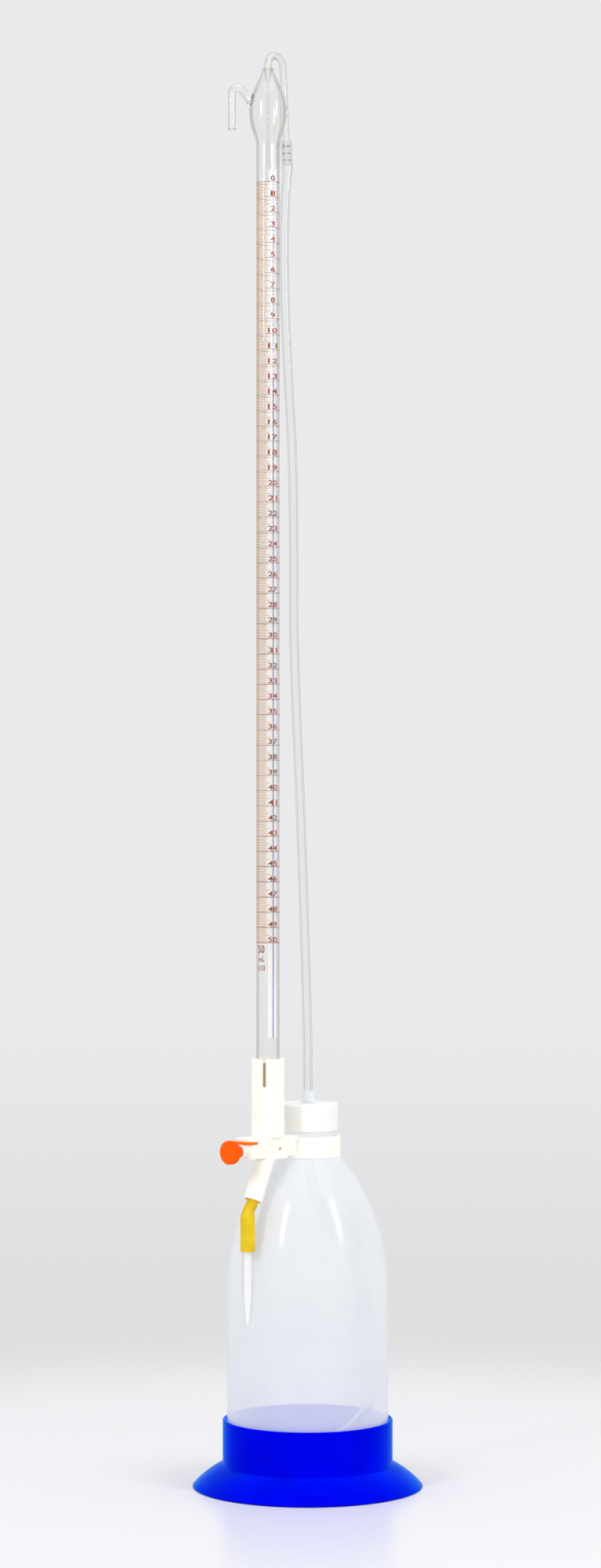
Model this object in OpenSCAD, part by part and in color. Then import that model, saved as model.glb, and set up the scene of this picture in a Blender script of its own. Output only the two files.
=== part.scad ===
// Automatic burette: a squeeze bottle in a round foot, with an arm round its neck that carries
// a graduated glass tube and a pinch valve. Squeezing the bottle fills the glass to its zero mark.
// Millimetres. The origin is on the bottle's axis at the floor, +Z is up and the arm points along -Y.
// In names, s is the distance from the bottle's axis along the arm, so y is minus s.

/* [Foot] */
// Radius of the foot's rim on the floor
foot_r = 68.9; // [64:0.1:80]
// Height at which the dome of the foot meets its ring
foot_dome_h = 13.2; // [11:0.1:18]
// Bend radius of the dome's outline
foot_dome_bend = 52; // [40:1:90]
// Height of the ring's top edge
foot_h = 40; // [25:0.5:60]
// Wall of the foot
foot_wall = 2; // [1.6:0.1:2.4]
// Height of the plate that the bottle stands on
foot_floor_z = 8; // [7:0.1:9]
// Clearance between the ring and the bottle
foot_fit = 0.5; // [0.3:0.05:0.7]

/* [Bottle] */
// Radius of the bottle's body
bottle_r = 48.5; // [46:0.1:50]
// Wall of the bottle
bottle_wall = 1; // [0.8:0.1:1.4]
// Height of the straight side above the bottle's base
body_h = 104; // [95:1:115]
// Height of the rounded shoulder
shoulder_h = 85.2; // [80:0.1:90]
// Radius of the bottle's bottom edge
bottom_round = 4; // [2:0.5:6]
// Radius of the seat that the arm's collar turns on
seat_r = 18; // [17.5:0.1:18.5]
// Height of the collar's seat
seat_h = 14.3; // [14:0.1:15]
// Width of the ledge below the seat
ledge_w = 2; // [1.7:0.1:2.5]
// Radius of the threaded neck
neck_r = 14.8; // [14.2:0.1:15.2]
// Height of the threaded neck
neck_h = 14; // [13.5:0.1:15]
// Wall of the neck
neck_wall = 2; // [1.5:0.1:2.5]

/* [Cap] */
// Wall of the cap's skirt
cap_wall = 1.8; // [1.4:0.1:2.2]
// Thickness of the cap's top
cap_top = 2; // [1.5:0.1:2.5]
// Gap between the cap's lower edge and the collar's seat
cap_gap = 1.5; // [1.2:0.1:2.5]
// Thickness of the liner
liner_t = 1.4; // [1:0.1:1.8]
// Rise of the thread in one turn
thread_pitch = 4; // [3.6:0.1:4]
// Depth of the thread
thread_depth = 1.1; // [0.8:0.1:1.2]
// Width of the thread at its root
thread_w = 1.6; // [1.2:0.1:1.6]
// Turns of the thread
thread_turns = 1.5; // [1:0.25:1.5]
// Clearance of the cap's thread
thread_fit = 0.4; // [0.3:0.05:0.5]
// Radius of the hose gland on the cap
gland_r = 4.25; // [4.1:0.05:5]
// Height of the gland above the cap
gland_h = 7.2; // [5.5:0.1:8]
// Clearance of the hose in the gland and of the gland in the cap
gland_fit = 0.12; // [0.1:0.01:0.2]

/* [Arm] */
// Distance from the bottle's axis to the burette's axis
arm_reach = 34.6; // [34:0.1:35.5]
// Width of the arm
arm_w = 14.4; // [14.3:0.1:16]
// Height of the arm at its front
arm_h = 11.7; // [11.6:0.1:12.2]
// Distance from the burette's axis to the arm's front face
front_reach = 22.3; // [22:0.1:22.7]
// Radius of the arm's front corners, seen from above
nose_r = 4.6; // [3.6:0.1:4.8]
// Thickness of the arm's front wall
front_wall = 7; // [6.5:0.1:7]
// Depth of the spring's pocket in the arm's front
pocket_depth = 5; // [4.8:0.1:5]
// Thickness of the side walls
side_wall = 1.2; // [1:0.05:1.25]
// Wall of the collar
collar_wall = 1.6; // [1.4:0.1:1.8]
// Clearance of the collar on its seat
collar_fit = 0.08; // [0.05:0.01:0.1]
// Gap between the collar and the bottle's ledge
collar_gap = 0.4; // [0.3:0.05:0.6]
// How far the arm stands above the collar
arm_over = 1.6; // [1:0.1:2]

/* [Holder] */
// Height of the holder tube
holder_h = 46.3; // [40:0.1:55]
// Wall of the holder tube
holder_wall = 1.2; // [1:0.05:1.5]
// Thickness of the holder's floor
holder_floor = 3; // [2:0.1:4]
// Length of the slits in the holder
slit_l = 16.4; // [10:0.1:20]
// Width of the slits
slit_w = 1.9; // [1.2:0.1:2.5]
// Direction of the first slit, from the arm's direction
slit_angle = 31; // [0:1:60]
// Number of slits
slit_n = 3; // [2:1:4]
// Wall of the rubber sleeve
sleeve_t = 1.6; // [1.2:0.1:2]
// Length of the rubber sleeve
sleeve_l = 26; // [20:1:28]
// How far the sleeve ends below the holder's rim
sleeve_drop = 3.5; // [2:0.5:6]

/* [Glass] */
// Outside radius of the graduated tube
tube_r = 6.85; // [6.6:0.05:7.2]
// Wall of the graduated tube
tube_wall = 0.91; // [0.8:0.01:1.1]
// Height of the lowest mark above the holder
last_mark_h = 68.5; // [60:0.1:80]
// Length of the scale
scale_l = 450; // [400:0.5:455]
// Length of the tube between the zero mark and the bulb
top_l = 21; // [15:0.5:30]
// Greatest radius of the bulb
bulb_r = 11.05; // [10:0.05:11.5]
// Height of the bulb below its greatest radius
bulb_low_h = 22; // [18:0.5:26]
// Height of the bulb above its greatest radius
bulb_high_h = 25; // [22:0.5:28]
// Outside radius of the filling tube
fill_r = 2.2; // [2:0.05:2.4]
// Bend radius of the filling tube's arch
arch_bend = 6.5; // [6.2:0.1:6.8]
// Lean of the filling tube's leg, in degrees
leg_lean = 3.6; // [3.4:0.1:3.8]
// Length of the filling tube's leg
leg_l = 57.5; // [55:0.5:58]
// Outside radius of the fine filling tube inside the glass
capillary_r = 0.9; // [0.8:0.05:1.2]
// Outside radius of the vent hook
vent_r = 2.4; // [2.2:0.05:2.5]
// Distance from the burette's axis to the vent hook's leg
vent_reach = 21.3; // [20.5:0.1:22]
// Length of the vent hook's leg
vent_leg = 21.3; // [15:0.1:25]
// Bend radius of the vent hook
vent_bend = 3.1; // [3:0.1:3.4]
// Direction of the vent hook about the burette, from the arm's direction
vent_turn = 45; // [0:1:90]
// Wall of the bent glass tubes
bent_wall = 0.8; // [0.6:0.05:1]
// Outside radius of the nozzle at the tube's foot
nozzle_r = 3.1; // [3:0.05:3.1]
// Bore radius of the nozzle
nozzle_bore = 2.35; // [2.2:0.05:2.4]

/* [Valve] */
// Radius of the knob
knob_r = 7; // [6.5:0.05:8]
// Thickness of the knob
knob_t = 4; // [3.6:0.1:4.6]
// Number of grooves round the knob
knurl_n = 40; // [24:1:48]
// Distance from the arm's front face to the knob's front face
knob_reach = 11.9; // [11.3:0.1:12.5]
// Height of the screw above the arm's lower edge
screw_rise = 4.4; // [4.3:0.05:4.5]
// Radius of the screw
screw_r = 1.5; // [1.3:0.05:1.5]
// Radius of the screw's flange
flange_r = 2.6; // [2.2:0.1:2.7]
// Thickness of the screw's flange
flange_t = 1.1; // [0.8:0.1:1.2]
// Thickness of the thrust washer
washer_t = 0.5; // [0.4:0.05:0.6]
// Radius of the boss round the screw
boss_r = 4; // [3.9:0.05:4.2]
// Length of the boss
boss_l = 2.5; // [2:0.1:2.9]
// Radius of the knob's hub
hub_r = 3; // [2.9:0.05:3.05]
// Travel of the knob when it is pressed
press_travel = 2.2; // [1.5:0.1:2.2]
// Travel of the slide when the knob is turned
fine_travel = 0.6; // [0.3:0.1:0.6]
// Clearance round the slide and the screw
slide_fit = 0.2; // [0.15:0.05:0.25]
// Thickness of the slide's plate
tongue_t = 1.4; // [1.2:0.1:1.4]
// How far the slide's tongue stands out of the arm
tongue_out = 0.6; // [0.4:0.1:1.2]
// Radius of the tongue's front corners, seen from above
tongue_round = 2.2; // [1.6:0.1:2.2]
// Radius of the pinch pin
pin_r = 1; // [0.8:0.05:1]
// Wire radius of the return spring
spring_wire_r = 0.3; // [0.2:0.05:0.3]
// Coils of the return spring
spring_n = 4; // [3:1:4]
// Outside radius of the valve hose
hose_r = 3.5; // [3.4:0.05:3.5]
// Wall of the valve hose
hose_wall = 1.25; // [1.2:0.01:1.25]

/* [Outlet] */
// Outside radius of the spout
spout_r = 5.5; // [5.2:0.05:6]
// Wall of the spout
spout_wall = 1; // [0.8:0.05:1.2]
// Length of the spout from the pinch
spout_l = 32; // [28:0.1:33]
// Tilt of the spout, in degrees from upright
spout_tilt = 24; // [23.5:0.5:24.5]
// Radius of the glass tip's stem
tip_r = 3.3; // [3.2:0.05:3.3]
// Length of the glass tip
tip_l = 60.8; // [50:0.1:70]
// Length of the tip's taper
tip_taper = 24.6; // [20:0.1:35]
// Radius at the tip's end
tip_end_r = 1.5; // [1.2:0.05:1.8]

/* [Riser] */
// Outside radius of the riser hose
riser_r = 2.83; // [2.6:0.01:2.9]
// Bore radius of the riser hose
riser_bore = 1.9; // [1.5:0.05:2]

/* [Hidden] */
$fn = 64;

// Heights and radii of the foot and the bottle
base_z = foot_floor_z;
ring_in_r = bottle_r + foot_fit;
ring_out_r = ring_in_r + foot_wall;
plate_under_z = foot_floor_z - foot_wall;
shoulder_z = base_z + body_h;
ledge_z = shoulder_z + shoulder_h;
ledge_r = seat_r + ledge_w;
seat_z = ledge_z + seat_h;
rim_z = seat_z + neck_h;
neck_bore = neck_r - neck_wall;
shoulder_swell = 44;
neck_flare_r = 14;
neck_flare_h = 17.2;

// Cap, thread and hose gland
thread_crest = 0.8;
thread_sink = 0.5;
thread_start = 3.5;
thread_rings = 24;
crest_r = neck_r + thread_depth;
cap_bore = crest_r + thread_fit;
cap_r = cap_bore + cap_wall;
cap_crest_r = neck_r + thread_fit;
cap_z = seat_z + cap_gap;
seal_gap = 0.1;
liner_z = rim_z + seal_gap;
cap_ceiling_z = liner_z + liner_t;
cap_top_z = cap_ceiling_z + cap_top;
cap_edge = 1;
thread_z = seat_z + thread_start;
gland_bore = riser_r + gland_fit;
gland_top_z = cap_top_z + gland_h;
gland_z = rim_z - 4.5;
gland_flange_r = 8;
gland_flange_t = 1.8;
seal_r = 0.38;
seal_mid_r = gland_bore + seal_r - 0.03;
seal_z = cap_top_z + 1.3;
seal_groove = 0.05;

// Arm, its slot and its hollow
collar_in_r = seat_r + collar_fit;
collar_r = collar_in_r + collar_wall;
collar_z = ledge_z + collar_gap;
arm_lift = 1.9;
arm_z = collar_z + arm_lift;
arm_top = arm_z + arm_h;
collar_top = arm_top - arm_over;
front_s = arm_reach + front_reach;
front_in_s = front_s - front_wall;
roof_t = 1.6;
arm_floor_t = 1.2;
inner_x = arm_w / 2 - side_wall;
slot_top = arm_top - roof_t;
tongue_top = slot_top - slide_fit;
tongue_z = tongue_top - tongue_t;
slot_z = tongue_z - slide_fit;

// Pinch point, screw and slide
travel = press_travel + fine_travel;
pinch_set_back = 0.85;
pinch_s = arm_reach - pinch_set_back;
pinch_z = arm_z + 4.6;
touch = 0.01;
anvil_gap = 0.05;
pin_s = pinch_s - hose_wall - touch - pin_r;
anvil_s = pinch_s + hose_wall + anvil_gap;
anvil_r = 1.1;
pin_hole_r = pin_r + 0.15;
screw_z = arm_z + screw_rise;
thrust_gap = 0.05;
washer_s = front_in_s - thrust_gap - washer_t;
flange_s = washer_s - thrust_gap - flange_t;
block_gap = 0.3;
block_t = 3;
block_s = flange_s - block_gap - block_t;
block_x = 4;
block_drop = 2.3;
screw_tip_s = block_s - 2;
slide_x = inner_x - slide_fit;
rail_w = 0.95;
window_x = slide_x - rail_w;
lug_half = 2;
lug_drop = 1.6;
slide_back_s = pin_s - 2.5;
window_s = pin_s - 1.2;
hollow_s = slide_back_s - travel - slide_fit;
tab_s = front_in_s + travel + slide_fit;
tab_x = arm_w / 2 - slide_fit;
stem_hole_r = screw_r + 0.1;
pocket_s = front_s - pocket_depth;
pocket_r = hub_r + slide_fit;
boss_s = front_s + boss_l;
hub_in = 1;
hub_s = boss_s - hub_in;
knob_s = front_s + knob_reach;
knob_back_s = knob_s - knob_t;
screw_end_s = knob_s - 1.7;
knurl_r = 0.32;
knob_edge = 0.5;
dimple_r = 0.5;
spring_mid_r = (screw_r + pocket_r) / 2;

// Holder, sleeve and glass
sleeve_fit = 0.05;
holder_bore = tube_r + sleeve_t + 2 * sleeve_fit;
holder_r = holder_bore + holder_wall;
holder_top = arm_top + holder_h;
spigot_r = 5.95;
spigot_fit = 0.05;
spigot_gap = 0.15;
holder_hole = nozzle_r + 1.4;
sleeve_top = holder_top - sleeve_drop;
sleeve_z = sleeve_top - sleeve_l;
tube_bore = tube_r - tube_wall;
nozzle_z = arm_top + 2.5;
nozzle_l = 9.5;
nozzle_cone = 8;
zero_z = holder_top + last_mark_h + scale_l;
bulb_z = zero_z + top_l;
bulb_mid_z = bulb_z + bulb_low_h;
bulb_top_z = bulb_mid_z + bulb_high_h;
bulb_top_r = 3.3;
bulb_wall = 1;
glass_gap = 0.05;
// A bend is a little thinner than the straight tubes that are fused over its ends
fused_step = 0.05;
fused_lap = 0.15;
arch_z = bulb_top_z + 1.8;
fill_bore = fill_r - bent_wall;
capillary_bore = capillary_r - 0.45;
capillary_cone = 7;
fill_joint = 2;
barb_r = 2.3;
barb_n = 3;
barb_l = 4;
barb_neck = 1.75;
vent_down = 45;
vent_z = bulb_mid_z + 10.1;
vent_bore = vent_r - bent_wall;
vent_flare_r = 4.5;
vent_flare_l = 8;
vent_flare_start_r = vent_r - 0.3;
vent_straight = (vent_reach - vent_bend - bulb_r) / cos(vent_down) + 1.5;

// Outlet
spout_s = arm_reach;
spout_z = pinch_z - 0.7;
cover_x = arm_w / 2 - 0.6;
cover_s = hollow_s - 1.2;
cover_front_s = arm_reach + 8.4;
cover_t = 1.4;
tip_gap = 0.2;
tip_s = bottle_r + tip_r + tip_gap;
tip_drop = 37.5;
tip_top = arm_z - tip_drop;
tip_z = tip_top - tip_l;
tip_bore = tip_r - 0.9;
tip_end_bore = 0.55;

// Riser hose: points on the glass leg, at a distance down it
leg_y = 2 * arch_bend - arm_reach;
function leg_at(d) = [0, leg_y + d * sin(leg_lean), arch_z - d * cos(leg_lean)];
riser_on_leg = 14.5;
riser_past_leg = 4;
leg_end_z = leg_at(leg_l)[2];
// Height above which the hose bends away from the bottle's axis
riser_bend_z = gland_top_z + 25.8;
// Its free run between the gland and the leg: y, and the share of the height between them
riser_free = [[-19.3, 0.965], [-20.6, 0.908], [-19.5, 0.832], [-16.4, 0.747], [-13.2, 0.661],
              [-12.2, 0.566], [-12, 0.471], [-10, 0.386], [-7.2, 0.3], [-4.8, 0.215], [-2.6, 0.129],
              [-0.7, 0.044]];
riser_top = concat([leg_at(leg_l - riser_on_leg), leg_at(leg_l), leg_at(leg_l + riser_past_leg)],
                   [for (p = riser_free) [0, p[0], riser_bend_z + p[1] * (leg_end_z - riser_bend_z)]],
                   [[0, 0, riser_bend_z], [0, 0, gland_top_z + 9], [0, 0, rim_z], [0, 0, rim_z - 20]]);
// Its dip end in the bottle: distance from the bottle's axis and height, in one upright plane
dip_points = [[1, ledge_z - 7], [5.5, ledge_z - 25], [15, ledge_z - 45], [28.5, ledge_z - 67],
              [38.5, base_z + 92], [41.5, base_z + 74], [41, base_z + 50], [29, base_z + 30],
              [12, base_z + 19], [-6, base_z + 15]];
dip_turn = 43;
riser_points = concat(riser_top, [for (p = dip_points) [p[0] * cos(dip_turn), p[0] * sin(dip_turn), p[1]]]);
riser_step = 13;
riser_sides = 10;
riser_swell = 0.6;
riser_swell_l = 5;
riser_swell_z = leg_end_z - riser_swell_l;

// Valve hose: s, z, half width across the arm, half thickness and wall along its run
function spout_at(d) = [spout_s + d * sin(spout_tilt), spout_z - d * cos(spout_tilt)];
over_nozzle = [4.05, 4.05, 0.8];
over_tip = [4.3, 4.3, 0.8];
free_hose = [hose_r, hose_r, hose_wall];
flat_hose = [4.6, hose_wall, hose_wall - 0.06];
half_flat = [4.5, 1.5, hose_wall - 0.05];
hose_on_nozzle = 7.8;
hose_on_tip = 17.3;
valve_hose_rows = [
    [arm_reach, nozzle_z + hose_on_nozzle, each over_nozzle], [arm_reach, nozzle_z - 0.5, each over_nozzle],
    [arm_reach, nozzle_z - 3.2, each free_hose], [arm_reach - 0.3, pinch_z + 3.5, 4.1, 2.7, hose_wall],
    [pinch_s + 0.15, pinch_z + 1.4, each half_flat], [pinch_s, pinch_z, each flat_hose],
    [pinch_s + 0.25, pinch_z - 1.4, each half_flat], [arm_reach + 0.4, pinch_z - 3.7, 4.05, 2.75, hose_wall],
    [each spout_at(5.7), each free_hose], [each spout_at(17), each free_hose],
    [each spout_at(27), each free_hose], [each spout_at(34), each free_hose],
    [tip_s - 0.9, tip_top + 6.8, each free_hose], [tip_s, tip_top + 2.4, each over_tip],
    [tip_s, tip_top - 1, each over_tip], [tip_s, tip_top - hose_on_tip, each over_tip]];
valve_hose_step = 3;
valve_hose_sides = 12;

// Point on a cubic curve with four control points
function curve_at(c, t) =
    c[0] * pow(1 - t, 3) + 3 * c[1] * t * pow(1 - t, 2) + 3 * c[2] * t * t * (1 - t) + c[3] * pow(t, 3);
// Direction of that curve
function curve_way(c, t) =
    (c[1] - c[0]) * pow(1 - t, 2) + 2 * (c[2] - c[1]) * t * (1 - t) + (c[3] - c[2]) * t * t;
// Points of the curve, moved to its left by an inset
function curve_points(c, inset, n) =
    [for (i = [0:n]) let (w = curve_way(c, i / n)) curve_at(c, i / n) + [-w[1], w[0]] * inset / norm(w)];
// Points of an arc about a centre
function arc_points(c, r, a0, a1, n) =
    [for (i = [0:n]) let (a = a0 + (a1 - a0) * i / n) c + r * [cos(a), sin(a)]];
// Smooth run of points through the given ones, about one step apart
function smooth_at(a, b, c, d, t) =
    (2 * b + (c - a) * t + (2 * a - 5 * b + 4 * c - d) * t * t + (3 * b - a - 3 * c + d) * t * t * t) / 2;
function smooth_run(p, step) =
    [for (i = [0:len(p) - 2])
         let (n = max(1, round(norm(p[i + 1] - p[i]) / step)))
         for (k = [0:n - 1])
             smooth_at(p[max(i - 1, 0)], p[i], p[i + 1], p[min(i + 2, len(p) - 1)], k / n),
     p[len(p) - 1]];
function unit(v) = v / norm(v);
// Direction of a run of points at one of them
function run_way(p, i) = unit(p[min(i + 1, len(p) - 1)] - p[max(i - 1, 0)]);

// Triangles of a skin between n rings of m points, turned inside out for a bore
function skin_faces(n, m, first, inside) =
    [for (i = [0:n - 2], j = [0:m - 1])
         let (a = first + i * m + j, b = first + i * m + (j + 1) % m, c = b + m, d = a + m)
         each (inside ? [[a, c, d], [a, b, c]] : [[a, d, c], [a, c, b]])];
// Triangles of the flat ends of a solid run of rings
function end_faces(n, m) =
    concat([for (j = [1:m - 2]) [0, j, j + 1]],
           [for (j = [1:m - 2]) [(n - 1) * m, (n - 1) * m + j + 1, (n - 1) * m + j]]);
// Triangles of the ring-shaped ends of a hollow run of rings
function rim_faces(n, m) =
    [for (e = [0, 1], j = [0:m - 1])
         let (o = e * (n - 1) * m + j, p = e * (n - 1) * m + (j + 1) % m, q = n * m + o, r = n * m + p)
         each (e == 0 ? [[o, p, r], [o, r, q]] : [[o, r, p], [o, q, r]])];
module solid_run(rings) {
    n = len(rings);
    m = len(rings[0]);
    polyhedron([for (r = rings) each r], concat(skin_faces(n, m, 0, false), end_faces(n, m)));
}
module hollow_run(outer, inner) {
    n = len(outer);
    m = len(outer[0]);
    polyhedron([for (r = concat(outer, inner)) each r],
               concat(skin_faces(n, m, 0, false), skin_faces(n, m, n * m, true), rim_faces(n, m)));
}
// Screw thread with a four-sided ridge; the ridge's points are radius and height
module thread(ridge, z) {
    n = round(thread_turns * thread_rings);
    solid_run([for (i = [0:n])
        let (a = 360 * thread_turns * i / n, h = z + thread_pitch * a / 360)
        [for (p = ridge) [p[0] * cos(a), p[0] * sin(a), h + p[1]]]]);
}

// Box along the arm, from s0 to s1
module arm_box(x, s0, s1, z0, z1) {
    translate([-x, -s1, z0]) cube([2 * x, s1 - s0, z1 - z0]);
}
// Block along the arm from s0 to s1, with its front corners rounded to r
module nose_box(x, s0, s1, z0, z1, r) {
    arm_box(x, s0, s1 - r, z0, z1);
    arm_box(x - r, s0, s1, z0, z1);
    for (side = [-1, 1])
        translate([side * (x - r), r - s1, z0]) cylinder(r = r, h = z1 - z0);
}
// Round bar along the arm, from s0 to s1
module arm_bar(r, s0, s1, z) {
    translate([0, -s0, z]) rotate([90, 0, 0]) cylinder(r = r, h = s1 - s0);
}
// Round bar across the arm
module cross_bar(r, x0, x1, s, z) {
    translate([x0, -s, z]) rotate([0, 90, 0]) cylinder(r = r, h = x1 - x0);
}
// Bend of a round bar in the upright plane of the arm, about a centre at y and z
module bend(r, bend_r, y, z, a0, a1) {
    translate([0, y, z]) rotate([90, 0, 90]) rotate([0, 0, a0])
        rotate_extrude(angle = a1 - a0) translate([bend_r, 0]) circle(r);
}
// Ring-shaped disc
module washer(r, hole, z0, z1) {
    translate([0, 0, z0]) difference() {
        cylinder(r = r, h = z1 - z0);
        translate([0, 0, -1]) cylinder(r = hole, h = z1 - z0 + 2);
    }
}

// Foot with a domed rim, hollow below, and the ring that holds the bottle
module foot_ring() {
    rim = [foot_r, 0];
    top = [ring_out_r, foot_dome_h];
    chord = top - rim;
    middle = (rim + top) / 2;
    side = [chord[1], -chord[0]] / norm(chord);
    centre = middle - side * sqrt(pow(foot_dome_bend, 2) - pow(norm(chord) / 2, 2));
    a0 = atan2(rim[1] - centre[1], rim[0] - centre[0]);
    a1 = atan2(top[1] - centre[1], top[0] - centre[0]);
    inner_bend = foot_dome_bend - foot_wall;
    b0 = asin((plate_under_z - centre[1]) / inner_bend);
    b1 = asin(-centre[1] / inner_bend);
    lip = foot_wall / 2;
    color("mediumblue") rotate_extrude() polygon(concat(
        arc_points(centre, foot_dome_bend, a0, a1, 8),
        arc_points([ring_in_r + lip, foot_h - lip], lip, 0, 180, 8),
        [[ring_in_r, foot_floor_z], [0, foot_floor_z], [0, plate_under_z]],
        arc_points(centre, inner_bend, b0, b1, 6)));
}

// Blown bottle with its shoulder, the collar's seat and the threaded neck
module bottle() {
    shoulder = [[bottle_r, shoulder_z], [bottle_r, shoulder_z + shoulder_swell],
                [ledge_r + neck_flare_r, ledge_z - neck_flare_h], [ledge_r, ledge_z]];
    inner = curve_points(shoulder, bottle_wall, 16);
    seat_in = seat_r - neck_wall;
    outside = concat(
        [[0, base_z]],
        arc_points([bottle_r - bottom_round, base_z + bottom_round], bottom_round, -90, 0, 6),
        curve_points(shoulder, 0, 16),
        [[seat_r, ledge_z], [seat_r, seat_z], [neck_r, seat_z], [neck_r, rim_z]]);
    inside = concat(
        [[neck_bore, rim_z], [neck_bore, seat_z - neck_wall], [seat_in, seat_z - neck_wall],
         [seat_in, inner[16][1]]],
        [for (i = [16:-1:0]) inner[i]],
        arc_points([bottle_r - bottom_round, base_z + bottom_round], bottom_round - bottle_wall, 0, -90, 6),
        [[0, base_z + bottle_wall]]);
    color("whitesmoke", 0.5) union() {
        rotate_extrude() polygon(concat(outside, inside));
        thread([[neck_r - thread_sink, -thread_w / 2], [neck_r - thread_sink, thread_w / 2],
                [crest_r, thread_crest / 2], [crest_r, -thread_crest / 2]], thread_z);
    }
}

module screw_cap() {
    hole = gland_r + gland_fit;
    color("white") union() {
        rotate_extrude() polygon([
            [cap_bore, cap_z], [cap_r, cap_z], [cap_r, cap_top_z - cap_edge], [cap_r - cap_edge, cap_top_z],
            [hole, cap_top_z], [hole, cap_ceiling_z], [cap_bore, cap_ceiling_z]]);
        thread([[cap_crest_r, -thread_crest / 2], [cap_crest_r, thread_crest / 2],
                [cap_bore + thread_sink, thread_w / 2], [cap_bore + thread_sink, -thread_w / 2]],
               thread_z + thread_pitch / 2);
    }
}

module cap_liner() {
    color("lightgrey") washer(cap_bore - thread_fit, gland_r + gland_fit, liner_z, cap_ceiling_z);
}

// Gland that the hose goes through, with a flange under the liner and a groove for its seal
module hose_nipple() {
    flange_top = rim_z - seal_gap;
    groove = seal_r + seal_groove;
    color("lightsteelblue") difference() {
        union() {
            translate([0, 0, gland_z]) cylinder(r = gland_r, h = gland_top_z - gland_z);
            translate([0, 0, flange_top - gland_flange_t]) cylinder(r = gland_flange_r, h = gland_flange_t);
        }
        translate([0, 0, gland_z - 1]) cylinder(r = gland_bore, h = gland_top_z - gland_z + 2);
        translate([0, 0, seal_z - groove]) cylinder(r = seal_mid_r + groove, h = 2 * groove);
    }
}

module hose_seal() {
    color("dimgrey") translate([0, 0, seal_z]) rotate_extrude() translate([seal_mid_r, 0]) circle(seal_r);
}

// Clear hose from the glass head through the gland, with its dip end in the bottle
function riser_ring(p, i, r, grow) =
    let (w = run_way(p, i),
         ref = [sin(dip_turn), -cos(dip_turn), 0],
         u = unit(ref - (ref * w) * w),
         v = cross(w, u),
         swell = grow * max(0, min(1, (p[i][2] - riser_swell_z) / riser_swell_l)))
    [for (j = [0:riser_sides - 1])
         let (a = 360 * j / riser_sides)
         p[i] + (r + swell) * (cos(a) * u + sin(a) * v)];
module riser_hose() {
    run = smooth_run(riser_points, riser_step);
    color("gainsboro", 0.5) hollow_run(
        [for (i = [0:len(run) - 1]) riser_ring(run, i, riser_r, riser_swell)],
        [for (i = [0:len(run) - 1]) riser_ring(run, i, riser_bore, riser_swell)]);
}

// Outline of the bulb from the tube to its top, moved in by an inset
function bulb_low(inset) = curve_points(
    [[tube_r, bulb_z], [tube_r, bulb_z + 8], [bulb_r, bulb_mid_z - 12], [bulb_r, bulb_mid_z]], inset, 10);
function bulb_high(inset) = curve_points(
    [[bulb_r, bulb_mid_z], [bulb_r, bulb_mid_z + 10], [bulb_top_r + 2.1, bulb_top_z - 9],
     [bulb_top_r, bulb_top_z]], inset, 10);
function backwards(p) = [for (i = [len(p) - 1:-1:0]) p[i]];

// Graduated tube with its nozzle and its overflow bulb
module burette_tube() {
    cone_z = nozzle_z + nozzle_l;
    mouth = fill_r + glass_gap;
    inner_high = bulb_high(bulb_wall);
    color("azure", 0.35) translate([0, -arm_reach, 0]) rotate_extrude() polygon(concat(
        [[nozzle_r, nozzle_z], [nozzle_r, cone_z], [tube_r, cone_z + nozzle_cone]],
        bulb_low(0), bulb_high(0),
        [[mouth, bulb_top_z], [mouth, inner_high[9][1]]],
        [for (i = [8:-1:0]) inner_high[i]],
        backwards(bulb_low(tube_wall)),
        [[tube_bore, cone_z + nozzle_cone], [nozzle_bore, cone_z], [nozzle_bore, nozzle_z]]));
}

// Filling tube: fine tube inside the glass, the arch over the bulb and the leg with hose barbs
module fill_tube() {
    y_arch = arch_bend - arm_reach;
    joint_z = bulb_top_z - fill_joint;
    color("azure", 0.35) difference() {
        union() {
            translate([0, -arm_reach, 0]) rotate_extrude() polygon([
                [0, zero_z], [capillary_r, zero_z], [capillary_r, joint_z - capillary_cone],
                [fill_r, joint_z], [fill_r, arch_z + fused_lap], [0, arch_z + fused_lap]]);
            bend(fill_r - fused_step, arch_bend, y_arch, arch_z, leg_lean, 180);
            leg() rotate_extrude() polygon(concat(
                [[0, -fused_lap], [fill_r, -fused_lap], [fill_r, leg_l - barb_n * barb_l]],
                [for (i = [0:barb_n - 1])
                     let (z = leg_l - (barb_n - i) * barb_l)
                     each [[barb_neck, z], [barb_r, z + 0.5], [barb_neck, z + barb_l]]],
                [[0, leg_l]]));
        }
        translate([0, -arm_reach, zero_z - 1]) cylinder(r = capillary_bore, h = arch_z - zero_z + 1);
        translate([0, -arm_reach, joint_z]) cylinder(r = fill_bore, h = arch_z - joint_z + fused_lap);
        bend(fill_bore - fused_step, arch_bend, y_arch, arch_z, leg_lean, 180);
        leg() translate([0, 0, -fused_lap]) cylinder(r = fill_bore, h = leg_l + fused_lap + 1);
    }
}
// Frame of the filling tube's leg, with +Z down along it
module leg() {
    y_arch = arch_bend - arm_reach;
    translate([0, y_arch + arch_bend * cos(leg_lean), arch_z + arch_bend * sin(leg_lean)])
        rotate([180 + leg_lean, 0, 0]) children();
}

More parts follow.
